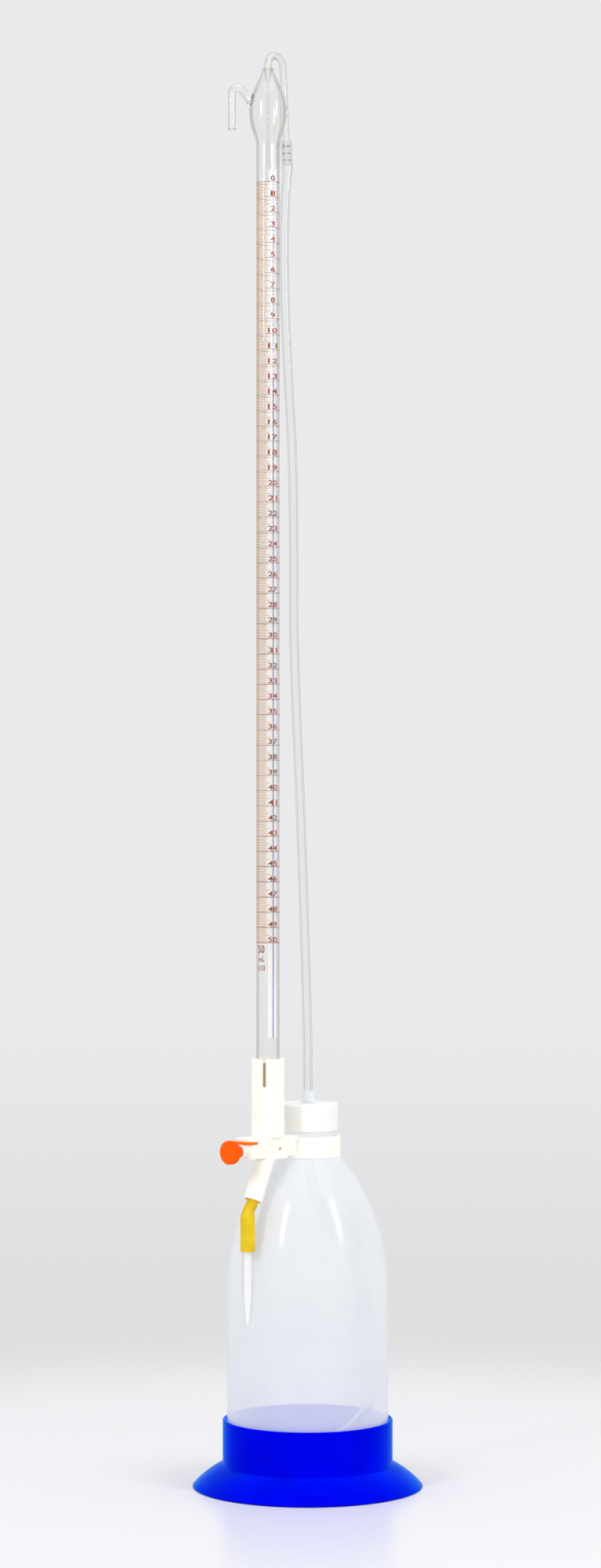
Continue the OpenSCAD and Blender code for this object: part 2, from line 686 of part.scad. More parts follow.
// Glass hook that vents the bulb and keeps dust out
module vent_hook() {
    color("azure", 0.35) translate([0, -arm_reach, 0]) rotate([0, 0, -vent_turn]) difference() {
        union() {
            vent_path(vent_r, 0);
            vent_branch() translate([0, 0, vent_straight - vent_flare_l])
                cylinder(r1 = vent_flare_start_r, r2 = vent_flare_r, h = vent_flare_l);
        }
        vent_path(vent_bore, 1);
        rotate_extrude() polygon(concat(
            [[0, bulb_z]], bulb_low(-glass_gap), bulb_high(-glass_gap), [[0, bulb_top_z]]));
    }
}
module vent_path(r, past) {
    y_bend = vent_bend - vent_reach;
    translate([0, y_bend - vent_bend, vent_z - vent_leg - past])
        cylinder(r = r, h = vent_leg + past + fused_lap);
    bend(r - fused_step, vent_bend, y_bend, vent_z, 90 - vent_down, 180);
    vent_branch() translate([0, 0, -fused_lap]) cylinder(r = r, h = vent_straight + past + fused_lap);
}
// Frame of the vent hook's straight branch, with +Z along it towards the bulb
module vent_branch() {
    y_bend = vent_bend - vent_reach;
    a = 90 - vent_down;
    translate([0, y_bend + vent_bend * cos(a), vent_z + vent_bend * sin(a)])
        rotate([-90 - vent_down, 0, 0]) children();
}

module burette_sleeve() {
    color("tan") translate([0, -arm_reach, 0])
        washer(tube_r + sleeve_fit + sleeve_t, tube_r + sleeve_fit, sleeve_z, sleeve_top);
}

// Slit tube that grips the glass, with a spigot in the arm's roof
module burette_holder() {
    spigot_z = slot_top + spigot_gap;
    color("ivory") translate([0, -arm_reach, 0]) difference() {
        union() {
            translate([0, 0, arm_top]) cylinder(r = holder_r, h = holder_h);
            translate([0, 0, spigot_z]) cylinder(r = spigot_r, h = arm_top - spigot_z + 1);
        }
        translate([0, 0, arm_top + holder_floor]) cylinder(r = holder_bore, h = holder_h);
        translate([0, 0, spigot_z - 1]) cylinder(r = holder_hole, h = holder_h);
        for (i = [0:slit_n - 1])
            rotate([0, 0, slit_angle + 360 * i / slit_n])
                translate([-slit_w / 2, -holder_r - 1, holder_top - slit_l])
                    cube([slit_w, holder_wall + 1.5, slit_l + 1]);
    }
}

// Arm with the collar round the bottle's neck, the hollow for the valve and the screw's boss
module valve_housing() {
    slot_x = arm_w / 2 + 1;
    color("ivory") difference() {
        union() {
            nose_box(arm_w / 2, 0, front_s, arm_z, arm_top, nose_r);
            translate([0, 0, collar_z]) cylinder(r = collar_r, h = collar_top - collar_z);
            arm_bar(boss_r, front_s - 1, boss_s, screw_z);
        }
        translate([0, 0, collar_z - 1]) cylinder(r = collar_in_r, h = arm_top);
        difference() {
            union() {
                arm_box(inner_x, hollow_s, cover_front_s - 1, arm_z - 1, slot_top);
                arm_box(inner_x, hollow_s, front_in_s, arm_z + arm_floor_t, slot_top);
            }
            anvil();
        }
        arm_box(slot_x, front_in_s, front_s + 1, slot_z, slot_top);
        arm_bar(stem_hole_r, front_in_s - 1, front_s, screw_z);
        arm_bar(pocket_r, pocket_s, boss_s + 1, screw_z);
        cross_bar(pin_hole_r, 0, arm_w, pin_s, pinch_z);
        translate([0, -arm_reach, slot_top - 1]) cylinder(r = spigot_r + spigot_fit, h = roof_t + 2);
    }
}
// Rib with a round nose that the hose is pinched against
module anvil() {
    nose_s = anvil_s + anvil_r;
    cross_bar(anvil_r, -arm_w / 2, arm_w / 2, nose_s, pinch_z);
    arm_box(arm_w / 2, nose_s, nose_s + 1, pinch_z - anvil_r, pinch_z + anvil_r);
}

// Cover under the arm with the spout that leads the hose forward
module outlet_spout() {
    color("ivory") difference() {
        union() {
            arm_box(cover_x, cover_s, cover_front_s, arm_z - cover_t, arm_z);
            intersection() {
                spout_way() cylinder(r = spout_r, h = spout_l);
                arm_box(arm_w, 0, front_s + spout_l, 0, arm_z);
            }
        }
        spout_way() translate([0, 0, -spout_r]) cylinder(r = spout_r - spout_wall, h = spout_l + 2 * spout_r);
    }
}
// Frame of the spout, with +Z down along it
module spout_way() {
    translate([0, -spout_s, spout_z]) rotate([180 - spout_tilt, 0, 0]) children();
}

// Slide with a window for the hose, lugs for the pinch pin, a nut block and the tongue
module pinch_slide() {
    color("darkorange") difference() {
        union() {
            difference() {
                arm_box(slide_x, slide_back_s, tab_s + 0.5, tongue_z, tongue_top);
                arm_box(window_x, window_s, block_s - 0.5, tongue_z - 1, tongue_top + 1);
            }
            nose_box(tab_x, tab_s, front_s + tongue_out, tongue_z, tongue_top, tongue_round);
            arm_box(block_x, block_s, block_s + block_t, screw_z - block_drop, tongue_top);
            for (side = [0, 1])
                mirror([side, 0, 0])
                    translate([window_x, -pin_s - lug_half, pinch_z - lug_drop])
                        cube([rail_w, 2 * lug_half, tongue_top - pinch_z + lug_drop]);
        }
        cross_bar(pin_r + touch, -arm_w, arm_w, pin_s, pinch_z);
        arm_bar(screw_r + 0.05, block_s - 1, block_s + block_t + 1, screw_z);
    }
}

module pinch_pin() {
    color("silver") cross_bar(pin_r, -slide_x + touch, slide_x - touch, pin_s, pinch_z);
}

// Coil spring between the arm and the knob's hub
module return_spring() {
    turn_rings = 8;
    wire_sides = 6;
    n = spring_n * turn_rings;
    start_s = pocket_s + spring_wire_r + touch;
    rise = hub_s - pocket_s - 2 * (spring_wire_r + touch);
    mid = [for (i = [0:n])
               let (a = 360 * i / turn_rings)
               [spring_mid_r * cos(a), -start_s - rise * i / n, screw_z + spring_mid_r * sin(a)]];
    gap = min([for (i = [0:n], j = [0:n]) if (abs(i - j) >= turn_rings / 2) norm(mid[i] - mid[j])])
          - 2 * spring_wire_r;
    echo(least_gap_of_return_spring = gap);
    color("silver") solid_run([for (i = [0:n])
        let (w = run_way(mid, i),
             axis = [0, -1, 0],
             u = unit(axis - (axis * w) * w),
             v = cross(w, u))
        [for (k = [0:wire_sides - 1])
             let (a = 360 * k / wire_sides)
             mid[i] + spring_wire_r * (cos(a) * u + sin(a) * v)]]);
}

// Fine screw: a threaded end in the slide, a flange inside the arm and a stem out to the knob
module fine_screw() {
    color("silver") union() {
        arm_bar(screw_r - 0.05, screw_tip_s, flange_s + 0.1, screw_z);
        arm_bar(flange_r, flange_s, flange_s + flange_t, screw_z);
        arm_bar(screw_r, flange_s + flange_t - 0.1, screw_end_s, screw_z);
    }
}

module thrust_washer() {
    color("gainsboro") difference() {
        arm_bar(flange_r, washer_s, washer_s + washer_t, screw_z);
        arm_bar(stem_hole_r, washer_s - 1, washer_s + washer_t + 1, screw_z);
    }
}

// Knob with a grooved edge, a hub that slides in the boss and a blind hole for the screw
module fine_knob() {
    color("orangered") difference() {
        union() {
            arm_bar(hub_r, hub_s, knob_back_s + 0.5, screw_z);
            translate([0, -knob_back_s, screw_z]) rotate([90, 0, 0]) rotate_extrude() polygon([
                [0, 0], [knob_r - knob_edge, 0], [knob_r, knob_edge], [knob_r, knob_t - knob_edge],
                [knob_r - knob_edge, knob_t], [0, knob_t]]);
        }
        arm_bar(screw_r + touch, hub_s - 1, screw_end_s + touch, screw_z);
        arm_bar(dimple_r, knob_s - 0.4, knob_s + 1, screw_z);
        for (i = [0:knurl_n - 1]) {
            a = 360 * i / knurl_n;
            translate([knob_r * cos(a), -knob_back_s + 1, screw_z + knob_r * sin(a)])
                rotate([90, 0, 0]) cylinder(r = knurl_r, h = knob_t + 2);
        }
    }
}

// Hose from the glass nozzle through the pinch and the spout to the glass tip
function valve_ring(rows, i, inside) =
    let (p = rows[i],
         q = rows[min(i + 1, len(rows) - 1)] - rows[max(i - 1, 0)],
         w = unit([q[0], q[1]]),
         x = p[2] - (inside ? p[4] : 0),
         t = p[3] - (inside ? p[4] : 0))
    [for (j = [0:valve_hose_sides - 1])
         let (a = 360 * j / valve_hose_sides)
         [x * cos(a), -p[0] + t * sin(a) * w[1], p[1] + t * sin(a) * w[0]]];
module valve_hose() {
    rows = smooth_run(valve_hose_rows, valve_hose_step);
    color("gold") hollow_run([for (i = [0:len(rows) - 1]) valve_ring(rows, i, false)],
                             [for (i = [0:len(rows) - 1]) valve_ring(rows, i, true)]);
}

module dispensing_tip() {
    color("azure", 0.35) translate([0, -tip_s, 0]) rotate_extrude() polygon([
        [tip_end_bore, tip_z], [tip_end_r, tip_z], [tip_r, tip_z + tip_taper], [tip_r, tip_top],
        [tip_bore, tip_top], [tip_bore, tip_z + tip_taper]]);
}

foot_ring();
bottle();
screw_cap();
cap_liner();
hose_nipple();
hose_seal();
riser_hose();
burette_tube();
fill_tube();
vent_hook();
burette_sleeve();
burette_holder();
valve_housing();
outlet_spout();
pinch_slide();
pinch_pin();
return_spring();
fine_screw();
fine_knob();
thrust_washer();
valve_hose();
dispensing_tip();
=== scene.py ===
"""Automatic burette: the looks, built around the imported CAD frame.

Sizes are in millimetres until a mesh is made; the mesh is in metres. The origin is on the bottle's
axis at the floor, +Z is up and the arm points along -Y, as in the CAD model.
"""

import math

import bmesh
import bpy
import numpy as np
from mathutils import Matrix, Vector


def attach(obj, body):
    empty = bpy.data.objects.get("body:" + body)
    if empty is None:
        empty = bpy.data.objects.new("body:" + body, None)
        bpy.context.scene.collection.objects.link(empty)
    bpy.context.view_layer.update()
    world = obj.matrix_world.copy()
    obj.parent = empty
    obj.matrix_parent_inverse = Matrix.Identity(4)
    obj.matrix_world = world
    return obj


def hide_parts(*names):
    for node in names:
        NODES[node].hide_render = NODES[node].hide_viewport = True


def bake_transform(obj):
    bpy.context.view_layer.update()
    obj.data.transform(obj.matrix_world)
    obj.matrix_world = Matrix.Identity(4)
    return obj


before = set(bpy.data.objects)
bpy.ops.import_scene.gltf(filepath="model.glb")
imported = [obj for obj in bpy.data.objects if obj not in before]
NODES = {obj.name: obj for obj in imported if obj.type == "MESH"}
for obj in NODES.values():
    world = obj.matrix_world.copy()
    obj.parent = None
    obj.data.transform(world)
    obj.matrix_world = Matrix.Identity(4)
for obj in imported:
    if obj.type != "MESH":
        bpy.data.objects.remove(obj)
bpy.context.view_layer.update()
MM = 0.001
# Points closer than this, in metres, are one point
MERGE = 1e-6
JOIN = 5 * MERGE

# View: the camera's direction about the bottle, in degrees from the arm's direction
VIEW_TURN = 43.0
TOWARD = np.array([math.sin(math.radians(VIEW_TURN)), -math.cos(math.radians(VIEW_TURN)), 0.0])
RIGHT = np.array([math.cos(math.radians(VIEW_TURN)), math.sin(math.radians(VIEW_TURN)), 0.0])
CAMERA_DISTANCE = 2.219
CAMERA_LEFT = 0.0043
CAMERA_HEIGHT = 0.420
LENS = 85.0
SENSOR = 36.0
CLIP = 0.05

# Foot and bottle
FOOT_R = 68.9
FOOT_DOME_H = 13.2
FOOT_DOME_BEND = 52.0
FOOT_H = 40.0
FOOT_WALL = 2.0
FOOT_FLOOR_Z = 8.0
RING_IN_R = 49.0
RING_OUT_R = RING_IN_R + FOOT_WALL
BOTTLE_R = 48.5
BOTTLE_WALL = 1.0
BOTTOM_ROUND = 4.0
SHOULDER_Z = 112.0
# Control points of the shoulder: over the straight side, and out from and under the ledge
SHOULDER_RISE = 44.0
SHOULDER_OUT = 14.0
SHOULDER_UNDER = 17.2
LEDGE_Z = 197.2
LEDGE_R = 20.0
SEAT_R = 18.0
SEAT_Z = 211.5
NECK_R = 14.8
NECK_WALL = 2.0
NECK_EDGE = 0.5
NECK_INNER_EDGE = 0.4
RIM_Z = 225.5
THREAD_PITCH = 4.0
THREAD_TURNS = 1.5
THREAD_DEPTH = 1.1
THREAD_START = 3.5
# How far a thread's root goes into the wall, and half its height at the root and at the crest
THREAD_ROOT = 0.5
THREAD_LOW_H = 0.8
THREAD_TOP_H = 0.4
THREAD_STEPS = 48

# Cap and gland
CAP_R = 18.1
CAP_BORE = 16.3
CAP_Z = 213.0
CAP_CEILING_Z = 227.0
CAP_TOP_Z = 229.0
CAP_THREAD_START = 5.5
CAP_THREAD_GAP = 0.4
GLAND_PLAY = 0.12
GLAND_R = 4.25
GLAND_TOP_Z = 236.2
GLAND_Z = 221.0
HOSE_HOLE_R = 2.95
FLANGE_R = 8.0
FLANGE_Z = 223.6
FLANGE_TOP_Z = 225.4

# Glass
REACH = 34.6
TUBE_R = 6.85
TUBE_WALL = 0.91
BULB_R = 11.05
BULB_WALL = 1.0
# Gap between glass pieces that are fused on the real object
FUSE_GAP = 0.05
MOUTH_LIP = 0.2
NOZZLE_Z = 213.7
NOZZLE_R = 3.1
NOZZLE_BORE = 2.35
NOZZLE_L = 9.5
NOZZLE_CONE = 8.0
NOZZLE_LIP = 0.5
NOZZLE_PULL = 4.0
ZERO_Z = 776.0
SCALE_L = 450.0
SCALE_STEPS = 500
# Marks: from and to which turn they go, in degrees from the camera's side
TENTH_TURN = (-80, -10)
HALF_TURN = (-80, 12)
WHOLE_TURN = (-85, 255)
# Figures: their turn, height, rise over the mark, and width with one or two digits
FIGURE_TURN = 26
FIGURE_H = 3.1
FIGURE_RISE = 0.5
FIGURE_W = (2.9, 6.1)
# Generic words under the scale: text, height, width and lower edge
WORDS_TURN = -35
WORDS = (("50", 4.6, 4.4, 320), ("mL", 2.9, 4.2, 315), ("1/10", 3.2, 5.0, 309.6))
LETTER_BOLD = 0.018
LETTER_DEPTH = 0.02
# Ink and stripe: how far they stand off the glass, how thick a line is, and where the stripe ends
INK_IN = 0.025
INK_OUT = 0.05
TICK = 0.26
STRIPE_TOP = 785.0
STRIPE_LOW = 269.0
BULB_Z = 797.0
BULB_MID_Z = 819.0
BULB_TOP_Z = 844.0
BULB_TOP_R = 3.3
# Control points of the bulb: over the tube, under and over its widest place, and out from and under its top
BULB_RISE = 8.0
BULB_UNDER = 12.0
BULB_OVER = 10.0
BULB_TOP_OUT = 2.1
BULB_TOP_UNDER = 9.0
ARCH_Z = 845.8
ARCH_BEND = 6.5
FILL_R = 2.2
FILL_BORE = 1.4
CAPILLARY_R = 0.9
CAPILLARY_BORE = 0.45
FILL_JOINT = 2.0
FILL_CONE = 7.0
LEG_LEAN = 3.6
LEG_L = 57.5
LEG_START = 3.0
# Hose barbs at the leg's end: how many, how long, and the distance down one and its radius there
BARB_N = 3
BARB_L = 4.0
BARB_ROWS = ((0.1, 1.75), (0.6, 2.3), (3.9, 1.75))
VENT_R = 2.4
VENT_REACH = 21.3
VENT_BEND = 3.1
VENT_DOWN = 45.0
VENT_TURN = 45.0
VENT_Z = 829.1
VENT_LEG = 21.3
VENT_WALL = 0.8
VENT_FLARE_R = 3.7
VENT_FLARE_L = 6.0
VENT_BRANCH = 8.8
VENT_STEP = 0.2

# Valve and outlet
SCREW_Z = 203.9
KNOB_S = 68.8
KNOB_R = 7.0
KNOB_T = 4.0
KNURL_N = 40
KNURL_DEPTH = 0.45
KNURL_REACH = 0.8
KNOB_SIDES = 8 * KNURL_N
DIMPLE_R = 0.6
DIMPLE_DEPTH = 0.4
HUB_R = 3.0
HUB_S = 58.4
SPRING_SHARP = 80.0
PINCH_S = 33.75
PINCH_Z = 204.1
HOSE_R = 3.5
HOSE_WALL = 1.25
HOSE_STEP = 0.6
# Soft hose over the nozzle and over the tip: half width, half thickness and wall
HOSE_ON_NOZZLE = (4.05, 4.05, 0.8)
HOSE_ON_TIP = (4.3, 4.3, 0.8)
# Where it ends on the nozzle, where it narrows under it, and distances down the spout that it goes through
HOSE_UP_NOZZLE = 7.8
HOSE_NARROWS = (0.5, 3.2)
HOSE_DOWN_SPOUT = (5.7, 17, 27, 34)
# Its bend over the tip, as steps from the tip's top, and the heights from there that it holds the tip at
HOSE_BEND = (0.9, 6.8)
HOSE_HOLDS = (2.4, -1, -17.3)
# In the pinch: s, height over the pin, half width, half thickness and how much thinner the wall is
PINCH_ROWS = ((REACH - 0.3, 3.5, 4.1, 2.7, 0), (PINCH_S + 0.15, 1.4, 4.5, 1.5, 0.05),
              (PINCH_S, 0, 4.6, HOSE_WALL, 0.06), (PINCH_S + 0.25, -1.4, 4.5, 1.5, 0.05),
              (REACH + 0.4, -3.7, 4.05, 2.75, 0))
WRINKLE = 0.06
WRINKLE_PITCH = 2.3
WRINKLE_LEAD = 3.0
SPOUT_Z = 203.4
SPOUT_TILT = 24.0
SPOUT_END_Z = 174.2
TIP_S = 52.0
TIP_TOP = 162.0
TIP_Z = 101.2
TIP_TAPER = 24.6
TIP_R = 3.3
TIP_END_R = 1.5
TIP_WALL = 0.9
TIP_BORE_R = 0.6
TIP_POLISH = 0.5
TIP_EDGE = 0.4
TIP_LIP = 1.0
# Control points of the taper: along it from its ends, and out from its end outside and in the bore
TIP_PULL = 9.0
TIP_OUT = 1.0
TIP_BORE_OUT = 0.9

# Riser hose
RISER_R = 2.83
RISER_BORE = 1.9
RISER_SWELL = 0.6
RISER_SWELL_L = 5.0
RISER_STEP = 3.0
DIP_TURN = 43.0
LEG_END_Z = ARCH_Z - LEG_L * math.cos(math.radians(LEG_LEAN))
RISER_ON_LEG = 14.5
RISER_PAST_LEG = 4.0
RISER_BEND_Z = GLAND_TOP_Z + 25.8
# Heights at which the hose is on the bottle's axis, from its bend down through the gland
RISER_STRAIGHT = (RISER_BEND_Z, GLAND_TOP_Z + 9, RIM_Z, RIM_Z - 20)
# Free run of the riser hose: y, and the share of the height between the gland and the glass leg
RISER_FREE = ((-19.3, 0.965), (-20.6, 0.908), (-19.5, 0.832), (-16.4, 0.747), (-13.2, 0.661),
              (-12.2, 0.566), (-12, 0.471), (-10, 0.386), (-7.2, 0.3), (-4.8, 0.215), (-2.6, 0.129),
              (-0.7, 0.044))
# Dip end: distance from the bottle's axis and height
DIP_POINTS = ((1, 190.2), (5.5, 172.2), (15, 152.2), (28.5, 130.2), (38.5, 100), (41.5, 82), (41, 58),
              (29, 38), (12, 27), (-6, 23))

# Finishes: grains per metre, bump depths in metres, and where noise values mostly lie
OUTSIDE = "outside"
NOISE_SPAN = (0.3, 0.7)
CLOUD_GRAIN = 35.0
BUMP_DEPTH = 0.0002
MILK_GRAIN = 160.0
MILK_BUMP = 0.04
MILK_BLEND = 0.35
# Blend of the painted shade at the edges of clear pieces
EDGE_SHADE_BLEND = 0.3
STREAK_GRAIN = 90.0
STREAK_STRETCH = (1, 1, 0.03)
STREAK_DEPTH = 0.00002

# Copies of CAD nodes: angles in degrees under which faces are one flat face, and over which edges are sharp
FLAT_ANGLE = 1.0
COPY_SHARP = 40.0
BEVEL_ANGLE = 45.0
BEVEL_STEPS = 3

# Stage, in metres
FLOOR_R = 0.7
FLOOR_Z = -0.0005
FLOOR_SIDES = 64
FLOOR_FADE = (0.3, 0.62)
SCREEN_REACH = 0.6
SCREEN_DEPTH = (0.5, -0.6)
SCREEN_H = 1.6
# The room grows paler between these upward parts of a direction
ROOM_RISE = (-0.22, 0.03)
# Softboxes: name, place (toward the camera, right, up), height aimed at, width and height, and watts
LIGHTS = (("key_light", (1.4, -1.3, 1.26), 0.3, (0.22, 0.9), 13),
          ("fill_light", (1.1, 1.56, 1.26), 0.3, (0.3, 1.0), 14),
          ("top_light", (0.2, 0.1, 2.2), 0.0, (1.8, 1.8), 8))


def arc(centre, radius, start, end, n):
    """Points of an arc: centre + radius * (cos a, sin a), a from start to end in degrees."""
    a = np.radians(np.linspace(start, end, n + 1))
    return np.array(centre) + radius * np.stack([np.cos(a), np.sin(a)], -1)


def curve(c0, c1, c2, c3, n, inset=0.0):
    """Cubic curve with four control points, moved to its left by an inset along its normal."""
    c = np.array([c0, c1, c2, c3], float)
    t = np.linspace(0, 1, n + 1)[:, None]
    at = c[0] * (1 - t) ** 3 + 3 * c[1] * t * (1 - t) ** 2 + 3 * c[2] * t ** 2 * (1 - t) + c[3] * t ** 3
    way = (c[1] - c[0]) * (1 - t) ** 2 + 2 * (c[2] - c[1]) * t * (1 - t) + (c[3] - c[2]) * t ** 2
    way /= np.linalg.norm(way, axis=1, keepdims=True)
    return at + inset * np.stack([-way[:, 1], way[:, 0]], -1)


def rounded(corners, n=6):
    """Outline through corners (r, z, fillet), each corner replaced by an arc that touches both sides.

    With half the corner's angle h, the arc starts fillet / tan(h) before the corner and its centre
    lies fillet / sin(h) from it, on the line that halves the corner."""
    c = np.array(corners, float)
    p, fillet = c[:, :2], c[:, 2]
    to_last, to_next = np.roll(p, 1, 0) - p, np.roll(p, -1, 0) - p
    to_last /= np.linalg.norm(to_last, axis=1, keepdims=True)
    to_next /= np.linalg.norm(to_next, axis=1, keepdims=True)
    half = np.arccos(np.clip((to_last * to_next).sum(1), -1, 1)) / 2
    middle = to_last + to_next
    middle /= np.maximum(np.linalg.norm(middle, axis=1, keepdims=True), 1e-9)
    centre = p + middle * (fillet / np.sin(half))[:, None]
    side = np.sign(to_last[:, 0] * to_next[:, 1] - to_last[:, 1] * to_next[:, 0])
    open_angle = math.pi - 2 * half
    base = np.arctan2(-middle[:, 1], -middle[:, 0])
    a = base[:, None] + (side * open_angle)[:, None] * np.linspace(0.5, -0.5, n + 1)
    points = centre[:, None] + fillet[:, None, None] * np.stack([np.cos(a), np.sin(a)], -1)
    return np.concatenate([q if f > 0 else q[:1] for q, f in zip(points, fillet)])


def smooth_run(points, step):
    """Catmull-Rom curve through the points, sampled about one step apart."""
    p = np.array(points, float)
    ends = np.concatenate([p[:1], p, p[-1:]])
    runs = []
    for a, b, c, d in zip(ends[:-3], ends[1:-2], ends[2:-1], ends[3:]):
        n = max(1, round(np.linalg.norm(c[:3] - b[:3]) / step))
        t = (np.arange(n) / n)[:, None]
        runs.append((2 * b + (c - a) * t + (2 * a - 5 * b + 4 * c - d) * t ** 2
                     + (3 * b - a - 3 * c + d) * t ** 3) / 2)
    return np.concatenate([*runs, p[-1:]])


def grid_faces(rows, columns, wrap_rows=True, wrap_columns=True):
    """Quads of a grid: each joins (i, j), (i, j+1), (i+1, j+1) and (i+1, j)."""
    i, j = np.meshgrid(np.arange(rows if wrap_rows else rows - 1),
                       np.arange(columns if wrap_columns else columns - 1), indexing="ij")
    up, over = (i + 1) % rows, (j + 1) % columns
    quads = np.stack([i * columns + j, i * columns + over, up * columns + over, up * columns + j], -1)
    return quads.reshape(-1, 4)


def lathe(outline, s=0.0, sides=96):
    """Surface of revolution of a closed outline (r, z): (r cos a, r sin a - s, z)."""
    a = np.arange(sides) * 2 * math.pi / sides
    r, z = outline[:, 0, None], outline[:, 1, None]
    points = np.stack([r * np.cos(a), r * np.sin(a) - s, np.broadcast_to(z, (len(outline), sides))], -1)
    return points.reshape(-1, 3), grid_faces(len(outline), sides)


def run_frames(path, reference):
    """At each point of a path, two directions across it: u nearest to the reference, and v = way x u."""
    way = np.gradient(path, axis=0)
    way /= np.linalg.norm(way, axis=1, keepdims=True)
    u = reference - (way @ reference)[:, None] * way
    u /= np.linalg.norm(u, axis=1, keepdims=True)
    return u, np.cross(way, u)


def pipe(path, outer, inner, reference, sides=32):
    """Hollow pipe along a path: out along rings of the outer radius, back along those of the inner one.

    A ring is p + r_u cos a u + r_v sin a v. Radii are one number, one per point, or a pair per point."""
    u, v = run_frames(path, np.array(reference, float))
    a = np.arange(sides) * 2 * math.pi / sides

    def rings(radius):
        r = np.broadcast_to(np.array(radius, float).reshape(-1, 1) if np.ndim(radius) < 2 else radius,
                            (len(path), 2))
        return (path[:, None] + r[:, :1, None] * np.cos(a)[:, None] * u[:, None]
                + r[:, 1:, None] * np.sin(a)[:, None] * v[:, None])

    points = np.concatenate([rings(outer), rings(inner)[::-1]])
    return points.reshape(-1, 3), grid_faces(2 * len(path), sides)


def helix_ridge(outline, start_z):
    """Screw thread: a closed outline (r, z) carried round the axis, rising by one pitch in a turn.

    The ridge sinks into the wall over the first and last eighth of a turn, so its ends run out."""
    n = int(THREAD_TURNS * THREAD_STEPS)
    t = np.linspace(0, 1, n + 1)
    a = 2 * math.pi * THREAD_TURNS * t
    lead = np.clip(np.minimum(t, 1 - t) * THREAD_TURNS * 8, 0, 1)[:, None]
    root = outline[0, 0]
    r = root + (outline[:, 0] - root) * lead
    z = start_z + THREAD_PITCH * (a / (2 * math.pi))[:, None] + outline[:, 1]
    points = np.stack([r * np.cos(a)[:, None], r * np.sin(a)[:, None], z], -1)
    rings = len(outline)
    ends = [np.array([[0, 1, 2, 3]]), n * rings + np.array([[3, 2, 1, 0]])]
    return points.reshape(-1, 3), np.concatenate([grid_faces(n + 1, rings, wrap_rows=False), *ends])


def make_piece(name, shells, material, body, stands_for=(), sharp=35.0):
    """One mesh from shells of points in millimetres and faces, riding on a body."""
    first = np.cumsum([0] + [len(points) for points, _ in shells[:-1]])
    points = np.concatenate([points for points, _ in shells]) * MM
    faces = [face for (_, part), start in zip(shells, first) for face in (part + start).tolist()]
    mesh = bpy.data.meshes.new(name)
    mesh.from_pydata(points.tolist(), [], faces)
    return finish_piece(name, mesh, material, body, stands_for, sharp)


def finish_piece(name, mesh, material, body, stands_for=(), sharp=35.0):
    """Closes seams and poles, points faces outwards, shades the mesh and lets it ride on any given body."""
    work = bmesh.new()
    work.from_mesh(mesh)
    bmesh.ops.remove_doubles(work, verts=work.verts, dist=MERGE)
    bmesh.ops.delete(work, geom=[e for e in work.edges if not e.link_faces], context="EDGES")
    bmesh.ops.recalc_face_normals(work, faces=work.faces)
    work.to_mesh(mesh)
    work.free()
    mesh.polygons.foreach_set("use_smooth", np.ones(len(mesh.polygons), bool))
    mesh.set_sharp_from_angle(angle=math.radians(sharp))
    mesh.materials.clear()
    mesh.materials.append(material)
    piece = bpy.data.objects.new(name, mesh)
    bpy.context.scene.collection.objects.link(piece)
    if body:
        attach(piece, body)
    if stands_for:
        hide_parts(*stands_for)
    return piece


def node_in(tree, kind, **settings):
    """A new shader node with its settings."""
    made = tree.nodes.new(kind)
    for name, value in settings.items():
        setattr(made, name, value)
    return made


def surface_noise(tree, scale, stretch=(1, 1, 1), detail=3.0):
    """Noise on Object coordinates: its grain is 1/scale metres, longer along a stretched axis."""
    where = node_in(tree, "ShaderNodeTexCoord")
    turn = node_in(tree, "ShaderNodeMapping")
    turn.inputs["Scale"].default_value = stretch
    noise = node_in(tree, "ShaderNodeTexNoise")
    noise.inputs["Scale"].default_value = scale
    noise.inputs["Detail"].default_value = detail
    tree.links.new(where.outputs["Object"], turn.inputs["Vector"])
    tree.links.new(turn.outputs["Vector"], noise.inputs["Vector"])
    return noise.outputs["Fac"]


def ranged(tree, value, low, high):
    """A noise value in NOISE_SPAN carried to the range low to high."""
    carry = node_in(tree, "ShaderNodeMapRange")
    carry.inputs["From Min"].default_value = NOISE_SPAN[0]
    carry.inputs["From Max"].default_value = NOISE_SPAN[1]
    carry.inputs["To Min"].default_value = low
    carry.inputs["To Max"].default_value = high
    tree.links.new(value, carry.inputs["Value"])
    return carry.outputs["Result"]


def blended(tree, value, first, second):
    """Colour that goes from the first to the second as a value goes through NOISE_SPAN."""
    ramp = node_in(tree, "ShaderNodeValToRGB")
    for end, place, colour in zip(ramp.color_ramp.elements, NOISE_SPAN, (first, second)):
        end.position = place
        end.color = (*colour, 1)
    tree.links.new(value, ramp.inputs["Fac"])
    return ramp.outputs["Color"]


def new_finish(name, **sockets):
    """A material with one Principled shader and its constant sockets; spaces in names are underscores.

    Returns the material, its node tree and the shader."""
    material = bpy.data.materials.new(name)
    material.use_nodes = True
    shader = material.node_tree.nodes["Principled BSDF"]
    for socket, value in sockets.items():
        shader.inputs[socket.replace("_", " ")].default_value = value
    return material, material.node_tree, shader


def moulded(name, colour, other, roughness, grain=900.0, bump=0.05, stretch=(1, 1, 1), **sockets):
    """Moulded surface: cloudy colour between two shades, uneven gloss and a fine bump."""
    material, tree, shader = new_finish(name, **sockets)
    cloud = surface_noise(tree, CLOUD_GRAIN)
    tree.links.new(blended(tree, cloud, colour, other), shader.inputs["Base Color"])
    fine = surface_noise(tree, grain, stretch)
    tree.links.new(ranged(tree, fine, *roughness), shader.inputs["Roughness"])
    relief = node_in(tree, "ShaderNodeBump")
    relief.inputs["Strength"].default_value = bump
    relief.inputs["Distance"].default_value = BUMP_DEPTH
    tree.links.new(fine, relief.inputs["Height"])
    tree.links.new(relief.outputs["Normal"], shader.inputs["Normal"])
    return material


